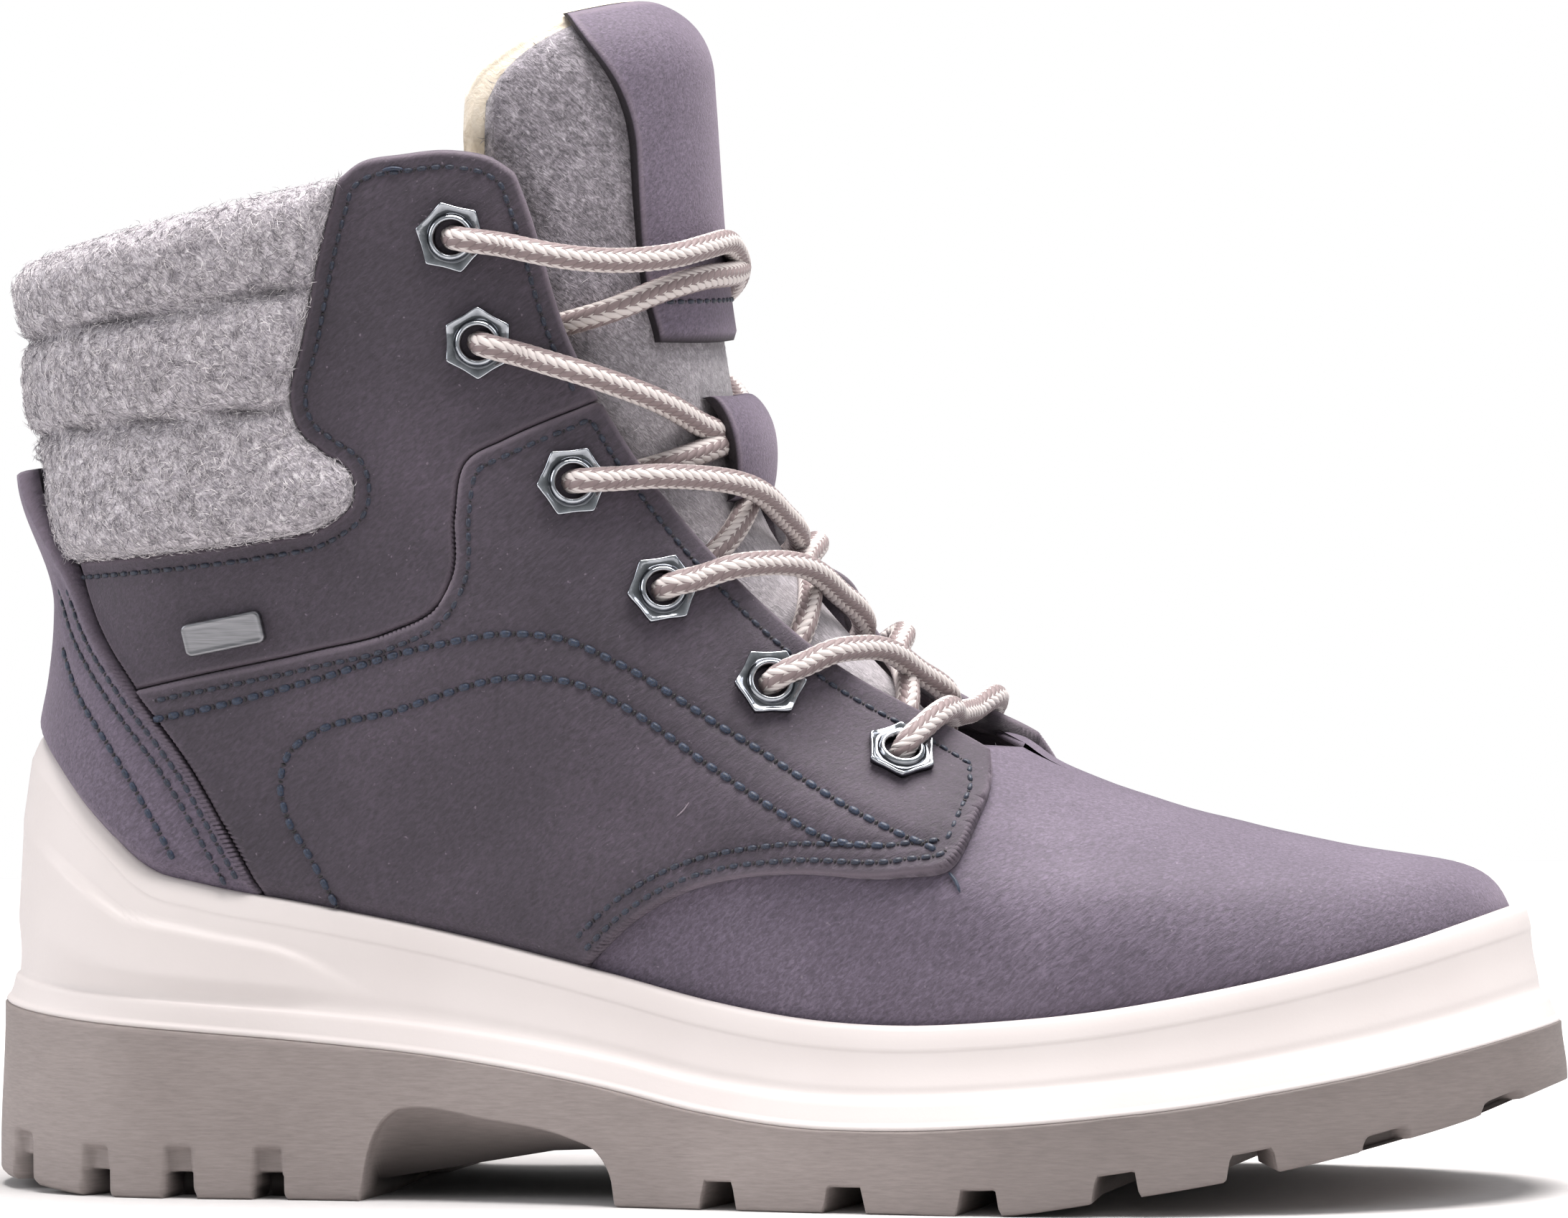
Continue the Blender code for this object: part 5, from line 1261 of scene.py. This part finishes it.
wing = np.interp(rimX, *np.array(wingLine).T)
wingAhead = smoothStep((midsoleForm["wingEnd"] - rimX) / midsoleForm["wingOver"])
wingBack = smoothStep((rimX - midsoleForm["backEnd"]) / midsoleForm["backOver"])
plainBack = smoothStep((midsoleForm["plainEnd"] - rimX) / midsoleForm["plainOver"])
sideRings = []
for rows, heightOf in ((lipRows, lambda v: rimZ - v),
                       (faceRows, lambda v: (rimZ - midsoleForm["faceTop"]) * (1 - v)
                        + (seamZ + midsoleForm["faceFoot"]) * v),
                       (bandRows, lambda v: seamZ + v)):
    for value, outset in rows:
        z = heightOf(value)
        down = np.clip((rimZ - z) / (rimZ - seamZ), 0, 1)
        raised = midsoleForm["wing"] * smoothStep((wing - z) / midsoleForm["wingEdge"] + 0.5) * wingAhead
        raised = raised * smoothStep((z - seamZ - midsoleForm["wingFoot"]) / midsoleForm["wingFoot"]) * wingBack
        plain = plainBack * (rows is not lipRows or value > midsoleForm["plainFrom"])
        outset = outset + plain * np.maximum(midsoleForm["plainOutset"] - outset, 0)
        swell = heelSwell * np.minimum(np.sin(np.pi * down) * midsoleForm["bulgeGain"], 1)
        reach = outset + swell * smoothStep((1 - down) / midsoleForm["bulgeFade"]) + raised
        sideRings.append(np.column_stack([outsetRing(midsolePlan, reach), z]))
rings = np.array(cupRings + sideRings)
floorRing = rings[0].copy()
floorRing[:, 2] = soleLine("bed", floorRing[:, 0]) - soleForm["cup"]


def ringSolid(rings, floorShares):
    # closed solid from rings: flat cap rings shrink the first and last ring to a spine
    def capped(ring):
        # the ring drawn in towards the middle between its two sides
        mirror = ring[(-np.arange(len(ring))) % len(ring)]
        middle = (ring + mirror) / 2
        return [middle + (ring - middle) * share for share in floorShares]
    stack = np.array(capped(rings[0])[::-1] + list(rings) + capped(rings[-1]))
    return stack.reshape(-1, 3), gridFaces(len(stack), stack.shape[1], True)[:, ::-1]


points, faces = ringSolid(np.concatenate([floorRing[None], rings]), (0.97, 0.7, 0.35, 0.001))
addPiece("midsole", points, faces, foam, ("midsole",), weld=True)
print("midsole ready")

# outsole: notches are set into its side, and grooves raise its foot
# notches: place along the foot, width, rise; the first fore ones run through under the sole
heelNotches = ((11, 4.0, 9.0), (27.8, 4.4, 9.0), (44, 4.4, 9.0), (60.6, 4.6, 9.0))
foreGrooves = ((145.4, 5.6, 5.0), (169, 6.4, 4.6), (193.4, 6.4, 4.6), (217.6, 6.8, 4.6), (240.6, 7.0, 4.4))
toeNotches = ((262, 5.5, 2.2), (279, 4.0, 1.8))
arch = smoothPath(((77.3, -3), (78.2, 4), (79.4, 9.5), (81.4, 13.6), (84.4, 16.1), (88.5, 16.6), (100, 15.0),
                   (117, 11.8), (121.8, 9.8), (124.6, 6), (125.8, 0), (126, -3)))
innerArch = ((72, 78, 111, 126), (0, 3.2, 9.0, 9.8))
treadForm = {"turns": 1200, "side": 9.0, "top": 8.1, "foot": 8.2, "footRound": 0.7, "topRound": 0.5,
             "heelDepth": 1.7, "gapDepth": 8.0, "gapRise": 4.4, "heelSoft": 0.45, "toeDepth": 3.6,
             "toeSoft": 0.6, "grooveShare": 0.55, "grooveSoft": 0.5, "groove": 4.0, "grooveReach": 17.0,
             "gapReach": 7.5, "foreShade": 0.34, "shadeFrom": 150, "shadeOver": 70, "widen": 1.2, "narrow": 0.25}


def notchWindow(x, above, notches, soft):
    # 1 inside a notch, 0 outside: slanted walls that widen to the ground, rounded at the top
    window = np.zeros_like(x)
    for centre, width, rise in notches:
        half = width / 2 * (treadForm["widen"] - treadForm["narrow"] * np.clip(above / rise, 0, 1))
        inside = smoothStep((half + soft - np.abs(x - centre)) / (2 * soft))
        window = np.maximum(window, inside * smoothStep((rise - above) / 1.0 + 0.5))
    return window


treadTurns = np.linspace(-1, 1, treadForm["turns"], endpoint=False)
ring = solePlan(treadTurns)[0]
spread = runLength(np.vstack([ring, ring[:1]]))
even = np.linspace(0, spread[-1], treadForm["turns"], endpoint=False)
treadPlan = solePlan(np.interp(even, spread, np.append(treadTurns, 1.0)))
sideX = outsetRing(treadPlan, treadForm["side"])[:, 0]
treadZ, seamZ = soleLine("tread", sideX), soleLine("seam", sideX)
archX, archRise = arch.T
archZ = np.interp(sideX, archX, archRise, left=-3, right=-3)
foreRise = np.zeros_like(sideX)
for centre, width, rise in foreGrooves:
    half = width * treadForm["grooveShare"] + treadForm["grooveSoft"]
    foreRise = np.maximum(foreRise, rise * smoothStep((half - np.abs(sideX - centre)) / 1.0))
footZ = np.maximum(treadZ + foreRise, archZ)
innerZ = np.maximum(treadZ + foreRise, np.minimum(archZ, np.interp(sideX, *innerArch)))
onGround = archZ < treadZ
# painted shade: the side darkens towards the toe, which gets more light
foreShade = treadForm["foreShade"] * smoothStep((sideX - treadForm["shadeFrom"]) / treadForm["shadeOver"])
heelGaps = [(centre, width, treadForm["gapRise"]) for centre, width, rise in heelNotches]
cuts = ((treadForm["heelDepth"], heelNotches, treadForm["heelSoft"]),
        (treadForm["gapDepth"], heelGaps, treadForm["heelSoft"]),
        (treadForm["toeDepth"], toeNotches, treadForm["toeSoft"]))
sideShares = np.concatenate([[1.0, 0.985], np.linspace(0.96, 0.5, 9), np.linspace(0.47, 0.04, 26), [0.02, 0.0]])
rings, shades = [], []
for share in sideShares:
    z = footZ + (seamZ - footZ) * share
    down = (seamZ - z) / (seamZ - treadZ)
    reach = treadForm["top"] + (treadForm["side"] - treadForm["top"]) * smoothStep(down / 0.9)
    reach = reach - treadForm["footRound"] * np.clip(1 - share / 0.04, 0, 1) ** 2
    reach = reach - treadForm["topRound"] * np.clip((share - 0.985) / 0.015, 0, 1)
    into = onGround * sum(depth * notchWindow(sideX, z - treadZ, notches, soft)
                          for depth, notches, soft in cuts)
    rings.append(np.column_stack([outsetRing(treadPlan, reach - into), z]))
    # painted shade deep in the notches and towards the toe
    shades.append(np.maximum(smoothStep((into - 2.0) / 2.5), foreShade))
groove = onGround * notchWindow(sideX, 0 * sideX, heelNotches, treadForm["heelSoft"])
for inset, rise in ((1.0, 0.0), (3.0, 0.0), (7.5, 1.0), (12.0, 1.0), (treadForm["grooveReach"], 1.0),
                    (treadForm["grooveReach"] + 1.5, 0.0)):
    inner = smoothStep((inset - 5.0) / 2.5)
    z = footZ * (1 - inner) + innerZ * inner + groove * treadForm["groove"] * rise
    into = treadForm["gapDepth"] * groove * np.clip(1 - inset / treadForm["gapReach"], 0, 1)
    rings.append(np.column_stack([outsetRing(treadPlan, treadForm["foot"] - inset - into), z]))
    # painted shade under the arch and in the heel's grooves
    shades.append(np.maximum(smoothStep((inset - 3.5) / 3) * smoothStep((archZ - treadZ) / 3), groove))
capShares = (0.75, 0.4, 0.001)
points, faces = ringSolid(np.array(rings), capShares)
shades = np.array([shades[0]] * len(capShares) + shades + [shades[-1]] * len(capShares))
addPiece("outsole", points, faces[:, ::-1], tread, ("outsole",), {"underShade": shades},
         weld=True)
print("outsole ready")

# insole: fleece footbed inside the upper
insoleForm = {"inset": -3.6, "drop": 0.4, "rises": (0, 3.0, 3.9),
              "caps": (0.98, 0.9, 0.75, 0.6, 0.4, 0.2, 0.001)}
inset = onLast(0 * soleTurns, soleTurns, insoleForm["inset"])
inset[:, 2] = soleLine("bed", inset[:, 0]) - insoleForm["drop"]
points, faces = ringSolid(np.array([inset + (0, 0, rise) for rise in insoleForm["rises"]]), insoleForm["caps"])
addPiece("fleeceInsole", points, faces, fleece, ("insole",), weld=True)
print("insole ready")


# eyelets: turned ring with a six-sided flange whose sides are hollow and whose points rise
# side-view place, turn in degrees, layer
eyelets = ((96.6, 170.5, -14, "shaft"), (100.9, 151.9, 30, "shaft"), (116.3, 127, 5, "quarter"),
           (131.7, 107.4, 8, "quarter"), (150.4, 90.3, 0, "quarter"), (173.5, 76.9, 20, "quarter"))
eyeletForm = {"seat": 0.7, "points": 96, "hexMost": 1.145, "hollow": 0.012, "pointRise": 0.22,
              "shadeAndTarnish": (0.95, 0.8, 0.4, 0.0, 0.15, 0.7, 0.95, 0.7, 0.4, 0.12, 0.0, 0.35, 0.9, 1, 1, 1),
              "profile": ((3.0, -3.0, 0), (3.0, 0.8, 0), (3.1, 1.4, 0), (3.42, 1.68, 0), (3.78, 1.5, 0),
                          (4.02, 1.1, 0), (4.15, 0.8, 0), (4.5, 0.62, 0.4), (4.95, 0.74, 0.85), (5.3, 0.98, 1),
                          (5.48, 0.98, 1), (5.62, 0.74, 1), (5.66, 0.25, 1), (5.6, -0.25, 1), (3.6, -0.3, 0),
                          (3.6, -3.0, 0))}


def seatFrame(level, turn, height, turnDeg):
    # point above the last with its normal and two directions along the surface
    normal = lastNormal(level, turn)
    flat = unit(np.cross((0.0, 0.0, 1.0), normal))
    rise = np.cross(normal, flat)
    angle = np.radians(turnDeg)
    along = np.cos(angle) * flat + np.sin(angle) * rise
    return lastSurface(level, turn) + height * normal, normal, along, np.cross(normal, along)


def ringPlane(angle, along, across):
    # directions round a ring in the plane of two others
    return np.cos(angle)[:, None] * along + np.sin(angle)[:, None] * across


angle = circle(eyeletForm["points"])
radius, height, six = (np.array(column)[:, None] for column in zip(*eyeletForm["profile"]))
point = np.cos(6 * angle)[None]
hexagon = np.minimum(1 / np.cos((angle % (np.pi / 3)) - np.pi / 6)[None], eyeletForm["hexMost"])
reach = radius * (1 + six * (hexagon - 1) - six * eyeletForm["hollow"] * (1 - point))
rise = height + six * eyeletForm["pointRise"] * np.clip(point, 0, 1) ** 3 * (height > 0)
here = np.arange(len(angle))
ahead, last = np.roll(here, -1), (len(radius) - 1) * len(angle)
eyeletFaces = [gridFaces(len(radius), len(angle), True),
               np.column_stack([ahead, here, here + last, ahead + last])]
# darkening by profile row: painted shade and dark painted reflections, with some tarnish in the hollows
shadeAndTarnish = np.repeat(eyeletForm["shadeAndTarnish"], len(angle))
eyeletPlaces = {}
for sideName, side in (("lateral", -1), ("medial", 1)):
    for number, (x, z, turnDeg, layer) in enumerate(eyelets, 1):
        level, turn = (value[0] for value in sidePlace([(x, z)]))
        eyeletPlaces[side, number] = (level, side * turn, layerTop[layer] + eyeletForm["seat"])
        spot, normal, along, across = seatFrame(*eyeletPlaces[side, number], turnDeg)
        grid = spot + rise[..., None] * normal + reach[..., None] * ringPlane(angle, along, across)[None]
        addPiece(f"eyelet{sideName.capitalize()}{number}", grid, eyeletFaces, gunmetal,
                 (f"eyelet_{sideName}_{number}",), {"shadeAndTarnish": shadeAndTarnish}, weld=True)
# dark cups behind the eyelets, painted shade in their holes: height and radius of each ring
wellRows = ((-2.9, 0.001), (-2.9, 3.2), (-0.7, 3.2), (-0.9, 0.001))
wells = []
for place in eyeletPlaces.values():
    spot, normal, along, across = seatFrame(*place, 0)
    plane = ringPlane(angle, along, across)
    wells.append(np.array([spot + depth * normal + wide * plane for depth, wide in wellRows]))
wellFaces = gridFaces(len(wellRows), len(angle), True)[:, ::-1]
shift = (np.arange(len(wells)) * len(wellRows) * len(angle))[:, None, None]
addPiece("eyeletWells", np.array(wells), (wellFaces[None] + shift).reshape(-1, 4), holeShade,
         weld=True)
print("eyelets ready")


# lace: each strand leaves an eyelet, runs over the facing and tongue and goes under the other facing
laceForm = {"radius": 2.25, "sides": 24, "step": 0.5, "columns": 8, "pitch": 1.85, "slant": 0.7, "core": 0.93,
            "bundle": 0.08, "twist": 0.16, "twistRun": 23, "smoothings": 12}
# heights and lengths of a strand: on the two facings, out of the eyelet, its hump, its fall to the tongue, its
# dive under the other facing, and the entry's points as rise and run from the eyelet
strandForm = {"samples": 40, "facing": (4.6, 4.2), "leave": 9, "sunk": 1.5, "hump": 1.5, "humpAt": 7,
              "humpWide": 4, "barSpan": 0.35, "slowFall": 0.6, "fall": 0.28, "diveFrom": 6, "diveOver": 10,
              "dive": -6.0, "hidden": 9, "curlFade": 0.06, "near": 5.5,
              "entry": ((-7.0, -0.5), (-3.0, -0.3), (0.4, 0.5), (1.7, 2.2))}
# lift of the chord to the tongue, height of rest, gathering in the keeper, shares of the way where
# the lateral and the medial strand are half down, over and under
crossings = ((3, 0.4, 1, (0.66, 0.34), 0), (-8, -2.2, 2, (0.5, 0.5), 0), (12, -2.8, 1, (0.47, 0.72), 1.3),
             (30, -2.8, 1, (0.47, 0.72), 1.3), (46, -1.6, 1, (0.47, 0.64), 1.0))
# rises and sags of the two top strands: share of the way, millimetres
bends = {(-1, 1): ((0, 0.07, 0.12, 0.21, 0.33, 0.48, 0.62, 0.8, 1),
                   (0, -4.3, -5.2, -4.5, -1.5, 1.7, 1.0, 0, 0)),
         (1, 1): ((0, 0.3, 0.5, 0.7, 0.8, 0.9, 1), (0, 1, 2.6, 4.8, 4.4, 2.2, 0))}


def liftToLast(points, direction, level, share):
    # where lines along a direction meet the last, each search starting from the one before
    direction = direction / np.linalg.norm(direction)
    first = np.cross(direction, (0.31, 0.17, 0.93))
    plane = np.stack([first, np.cross(direction, first)])
    places = []
    small = 0.0005
    for point in points:
        for step in range(25):
            here = plane @ (lastSurface(level, ridgeTurn(share)) - point)
            byLevel = plane @ (lastSurface(level + small, ridgeTurn(share)) - point) - here
            byShare = plane @ (lastSurface(level, ridgeTurn(share + small)) - point) - here
            move = np.linalg.solve(np.column_stack([byLevel, byShare]) / small, here)
            level, share = level - np.clip(move[0], -0.5, 0.5), share - np.clip(move[1], -0.1, 0.1)
        places.append((level, share))
    return np.array(places)


def shareOf(turn):
    # share from the front ridge of one turn
    return -1 - turn if turn < 0 else 1 - turn


def eyeletEnd(place, direction):
    # points of a strand that comes up through an eyelet and leaves in a direction
    spot, normal, ahead = onLast(*place), lastNormal(place[0], place[1]), unit(direction)
    return [spot + rise * normal + run * ahead for rise, run in strandForm["entry"]]


def strandPath(start, end, liftDeg, rest, gather, shift, over, bend, bar):
    # out of the eyelet, over the facing, down to the tongue and under the other facing
    form, medial = strandForm, int(start[1] > 0)
    t = np.linspace(0, 1, form["samples"])
    ends = [lastSurface(place[0], place[1]) for place in (start, end)]
    chord = ends[0] + t[:, None] * (ends[1] - ends[0])
    late = t ** (np.log(0.5) / np.log(shift[medial]))
    drop = 0.5 + 0.5 * np.sign(late - 0.5) * np.abs(2 * late - 1) ** gather
    chord[:, 2] = ends[0][2] + drop * (ends[1][2] - ends[0][2]) + smoothThrough(*bend, t)
    lift = np.array([np.cos(np.radians(liftDeg)), 0, np.sin(np.radians(liftDeg))])
    places = liftToLast(chord, lift, start[0], shareOf(start[1]))
    level, turn = places[:, 0], ridgeTurn(places[:, 1])
    ground = lastSurface(level, turn)
    gap = throatGap(np.clip(level, 0, throatForm["topLevel"]))
    inside = np.flatnonzero(np.abs(places[:, 1]) < gap)
    opens, closes = t[inside[0]], t[inside[-1]]
    length = np.linalg.norm(np.diff(ground, axis=0), axis=1).sum()
    facing = form["facing"][medial]
    leave = smoothStep(t * length / form["leave"])
    height = start[2] - form["sunk"] + (facing - start[2] + form["sunk"]) * leave
    height = height + form["hump"] * np.exp(-((t * length - form["humpAt"]) / form["humpWide"]) ** 2)
    rest = rest - np.sign(start[1]) * over
    if bar:
        height = np.maximum(height, height[::-1])
        span = form["barSpan"] * (closes - opens)
        height = height + (rest - facing) * smoothStep((t - opens) / span) * smoothStep((closes - t) / span)
        stop = 1.0
    else:
        fall = form["slowFall"] if start[1] < 0 and gather == 1 else form["fall"]
        height = height + (rest - facing) * smoothStep((t - opens) / (fall * (closes - opens)))
        dive = smoothStep((t - closes + form["diveFrom"] / length) / (form["diveOver"] / length))
        height = height + (form["dive"] - rest) * dive
        stop = min(closes + form["hidden"] / length, 1.0)
    curl = facingLift(ground, turn)
    height = height + curl * (smoothStep((opens - t) / form["curlFade"] + 0.5) if not bar else 1)
    points = onLast(level, turn, height)[t <= stop]
    far = np.linalg.norm(points - onLast(*start), axis=1) > form["near"]
    points = np.vstack([eyeletEnd(start, points[3] - points[0]), points[far]])
    if bar:
        far = np.linalg.norm(points - onLast(*end), axis=1) > form["near"]
        points = np.vstack([points[far], eyeletEnd(end, points[-4] - points[-1])[::-1]])
    return points


def addLace(name, points, stands):
    # tube along a smooth path; slanted yarn bundles stand in rows round it, white and mauve by turns
    run = runLength(points)
    at = np.linspace(0, run[-1], int(run[-1] / laceForm["step"]))
    spine = np.stack([smoothThrough(run, points[:, k], at) for k in range(3)], axis=-1)
    blur = np.array([1, 4, 6, 4, 1]) / 16
    for step in range(laceForm["smoothings"]):
        inner = sum(weight * np.roll(spine, k - 2, axis=0) for k, weight in enumerate(blur))
        spine[2:-2] = inner[2:-2]
    along = unit(np.gradient(spine, axis=0))
    side = unit(np.cross(along, (0.15, 0.1, 1.0)))
    rise = np.cross(side, along)
    angle = np.linspace(0, 2 * np.pi, laceForm["sides"] + 1)
    column = angle[None] / (2 * np.pi) * laceForm["columns"]
    column = column + laceForm["twist"] * np.sin(at / laceForm["twistRun"])[:, None]
    slant = np.where(np.floor(column) % 2 == 0, 1, -1)
    phase = (at[:, None] / laceForm["pitch"] + slant * laceForm["slant"] * (column % 1)) % 1
    bundle = np.sqrt(np.sin(np.pi * (column % 1))) * np.sqrt(np.sin(np.pi * phase))
    reach = laceForm["radius"] * (laceForm["core"] + laceForm["bundle"] * bundle)
    reach[:, -1] = reach[:, 0]
    ring = np.cos(angle)[:, None] * side[:, None] + np.sin(angle)[:, None] * rise[:, None]
    grid = spine[:, None] + reach[..., None] * ring
    rows, columns = reach.shape
    caps = [np.arange(columns - 1)[::-1][None], (np.arange(columns - 1) + (rows - 1) * columns)[None]]
    pitches = np.broadcast_to(at[:, None] / laceForm["pitch"], column.shape)
    uv = np.stack([column + laceForm["columns"], pitches], axis=-1)
    return addPiece(name, grid, [gridFaces(rows, columns)[:, ::-1]] + caps, braid, stands, uv=uv,
                    weld=True)


straight = ((0, 1), (0, 0))
for i, crossing in enumerate(crossings, 1):
    for side, sideName in ((-1, "Lateral"), (1, "Medial")):
        bend = bends.get((side, i), straight)
        path = strandPath(eyeletPlaces[side, i], eyeletPlaces[-side, i + 1], *crossing, bend, False)
        addLace(f"lace{sideName}{i}", path, (f"lace_cross_{i}",))
path = strandPath(eyeletPlaces[-1, 6], eyeletPlaces[1, 6], 56, -0.8, 1, (0.5, 0.5), 0, straight, True)
addLace("laceBar", path, ("lace_bar",))
print("lace ready")


# plate: bare brushed pewter, rounded corners and a bevelled rim
plateForm = {"place": (52.7, 100.8), "size": (15.3, 5.9), "corner": 1.3, "turn": 11, "seat": 0.5, "points": 96,
             "rows": ((0.1, -0.6), (0, -0.45), (0, 0.55), (0.12, 0.85), (0.4, 1.0), (0.6, 0.98), (0.75, 0.9),
                      (1.25, 0.9)), "faceShares": (0.6, 0.3, 0.001)}
level, turn = (value[0] for value in sidePlace([plateForm["place"]]))
spot, normal, along, across = seatFrame(level, -turn, layerTop["shaft"] + plateForm["seat"], plateForm["turn"])
angle = circle(plateForm["points"])


def plateRing(shrink):
    # rounded rectangle: corner circles pushed out to the four corners
    half = np.array(plateForm["size"]) / 2 - plateForm["corner"]
    radius = plateForm["corner"] - shrink
    return (np.sign(np.cos(angle)) * half[0] + radius * np.cos(angle),
            np.sign(np.sin(angle)) * half[1] + radius * np.sin(angle))


stack = []
for shrink, height in plateForm["rows"]:
    a, b = plateRing(shrink)
    stack.append(spot + a[:, None] * along + b[:, None] * across + height * normal)
inner, faceHeight, backHeight = stack[-1], plateForm["rows"][-1][1], plateForm["rows"][0][1]
for share in plateForm["faceShares"]:
    stack.append(spot + share * (inner - spot) + (1 - share) * faceHeight * normal)
stack.insert(0, spot + backHeight * normal + plateForm["faceShares"][-1] * (stack[0] - spot))
addPiece("plate", np.array(stack), gridFaces(len(stack), len(angle), True)[:, ::-1], pewter,
         ("badge_plate",), weld=True)
print("plate ready")


# floor, soft studio light and the camera at the photo's angle
paper, tree, shader, place = newFinish("palePaper", Roughness=0.9)
cloud = grain(tree, place, 3, detail=2.0)
tree.links.new(ramp(tree, cloud, ((0.3, "#c6c5c5"), (0.7, "#cac9c9"))), shader.inputs["Base Color"])
floorForm = {"radii": (0.0001, 0.3, 0.6, 0.9), "points": 96}
angle = circle(floorForm["points"])
disc = np.column_stack([np.cos(angle), np.sin(angle), 0 * angle])
points = np.array(floorForm["radii"])[:, None, None] * disc[None]
mesh = bpy.data.meshes.new("floor")
mesh.from_pydata(points.reshape(-1, 3).tolist(), [], gridFaces(len(points), len(angle), True).tolist())
floor = bpy.data.objects.new("floor", mesh)
mesh.materials.append(paper)
mesh.shade_smooth()
bpy.context.scene.collection.objects.link(floor)

world = bpy.data.worlds.new("studio")
world.use_nodes = True
tree = world.node_tree
seen = addNode(tree, "LightPath").outputs["Is Camera Ray"]    # the eye sees white, the boot gets a softer grey
tree.links.new(ramp(tree, seen, ((0.0, 0.45), (1.0, 1.0))), tree.nodes["Background"].inputs["Color"])
bpy.context.scene.world = world
bpy.context.scene.view_settings.view_transform = "Standard"


def addLight(name, spot, aim, size, power, colour):
    # soft disc lamp that faces its aim
    lamp = bpy.data.lights.new(name, "AREA")
    lamp.shape = "DISK"
    lamp.size = size
    lamp.energy = power
    lamp.color = hexColour(colour)[:3]
    holder = bpy.data.objects.new(name, lamp)
    holder.location = spot
    holder.rotation_euler = (Vector(aim) - Vector(spot)).to_track_quat("-Z", "Y").to_euler()
    bpy.context.scene.collection.objects.link(holder)


addLight("keyLight", (0.15, 0.0, 1.9), (0, 0, 0.1), 1.5, 85, "#fffaf8")
addLight("toeLight", (1.7, -0.3, 1.7), (0, 0, 0.1), 1.2, 12, "#fbfaff")
addLight("heelLight", (-1.8, -0.7, 0.8), (0, 0, 0.1), 1.2, 14, "#fbfaff")

cameraForm = {"azimuth": 15.0, "distance": 2000.0, "height": 185.0, "target": (142.5, 0.0, 108.0),
              "focalPx": 15620.0, "targetPx": (1063.4, 811.9), "frame": (2184, 1697), "roll": 0.67,
              "sensor": 36, "reach": 50}
azimuth = np.radians(cameraForm["azimuth"])
target = np.array(cameraForm["target"])
eye = target + cameraForm["distance"] * np.array([np.sin(azimuth), -np.cos(azimuth), 0])
eye[2] = cameraForm["height"]
forward = unit(target - eye)
right = unit(np.cross(forward, (0, 0, 1.0)))
upward = np.cross(right, forward)
roll = np.radians(cameraForm["roll"])
right, upward = np.cos(roll) * right - np.sin(roll) * upward, np.cos(roll) * upward + np.sin(roll) * right
shiftX = (cameraForm["frame"][0] / 2 - cameraForm["targetPx"][0]) / cameraForm["focalPx"]
shiftY = (cameraForm["frame"][1] / 2 - cameraForm["targetPx"][1]) / cameraForm["focalPx"]
forward = unit(forward + shiftX * right - shiftY * upward)
right = unit(right - forward * (right @ forward))
upward = np.cross(right, forward)
lens = bpy.data.cameras.new("camera")
lens.sensor_fit = "HORIZONTAL"
lens.sensor_width = cameraForm["sensor"]
lens.lens = cameraForm["focalPx"] / cameraForm["frame"][0] * cameraForm["sensor"]
lens.clip_end = cameraForm["reach"]
camera = bpy.data.objects.new("camera", lens)
eyeWorld = (eye - (originX, originY, 0)) * 0.001
axes = (right, upward, -forward, eyeWorld)
camera.matrix_world = Matrix([[vector[k] for vector in axes] for k in range(3)] + [(0, 0, 0, 1)])
bpy.context.scene.collection.objects.link(camera)
bpy.context.scene.camera = camera
print("stage ready")
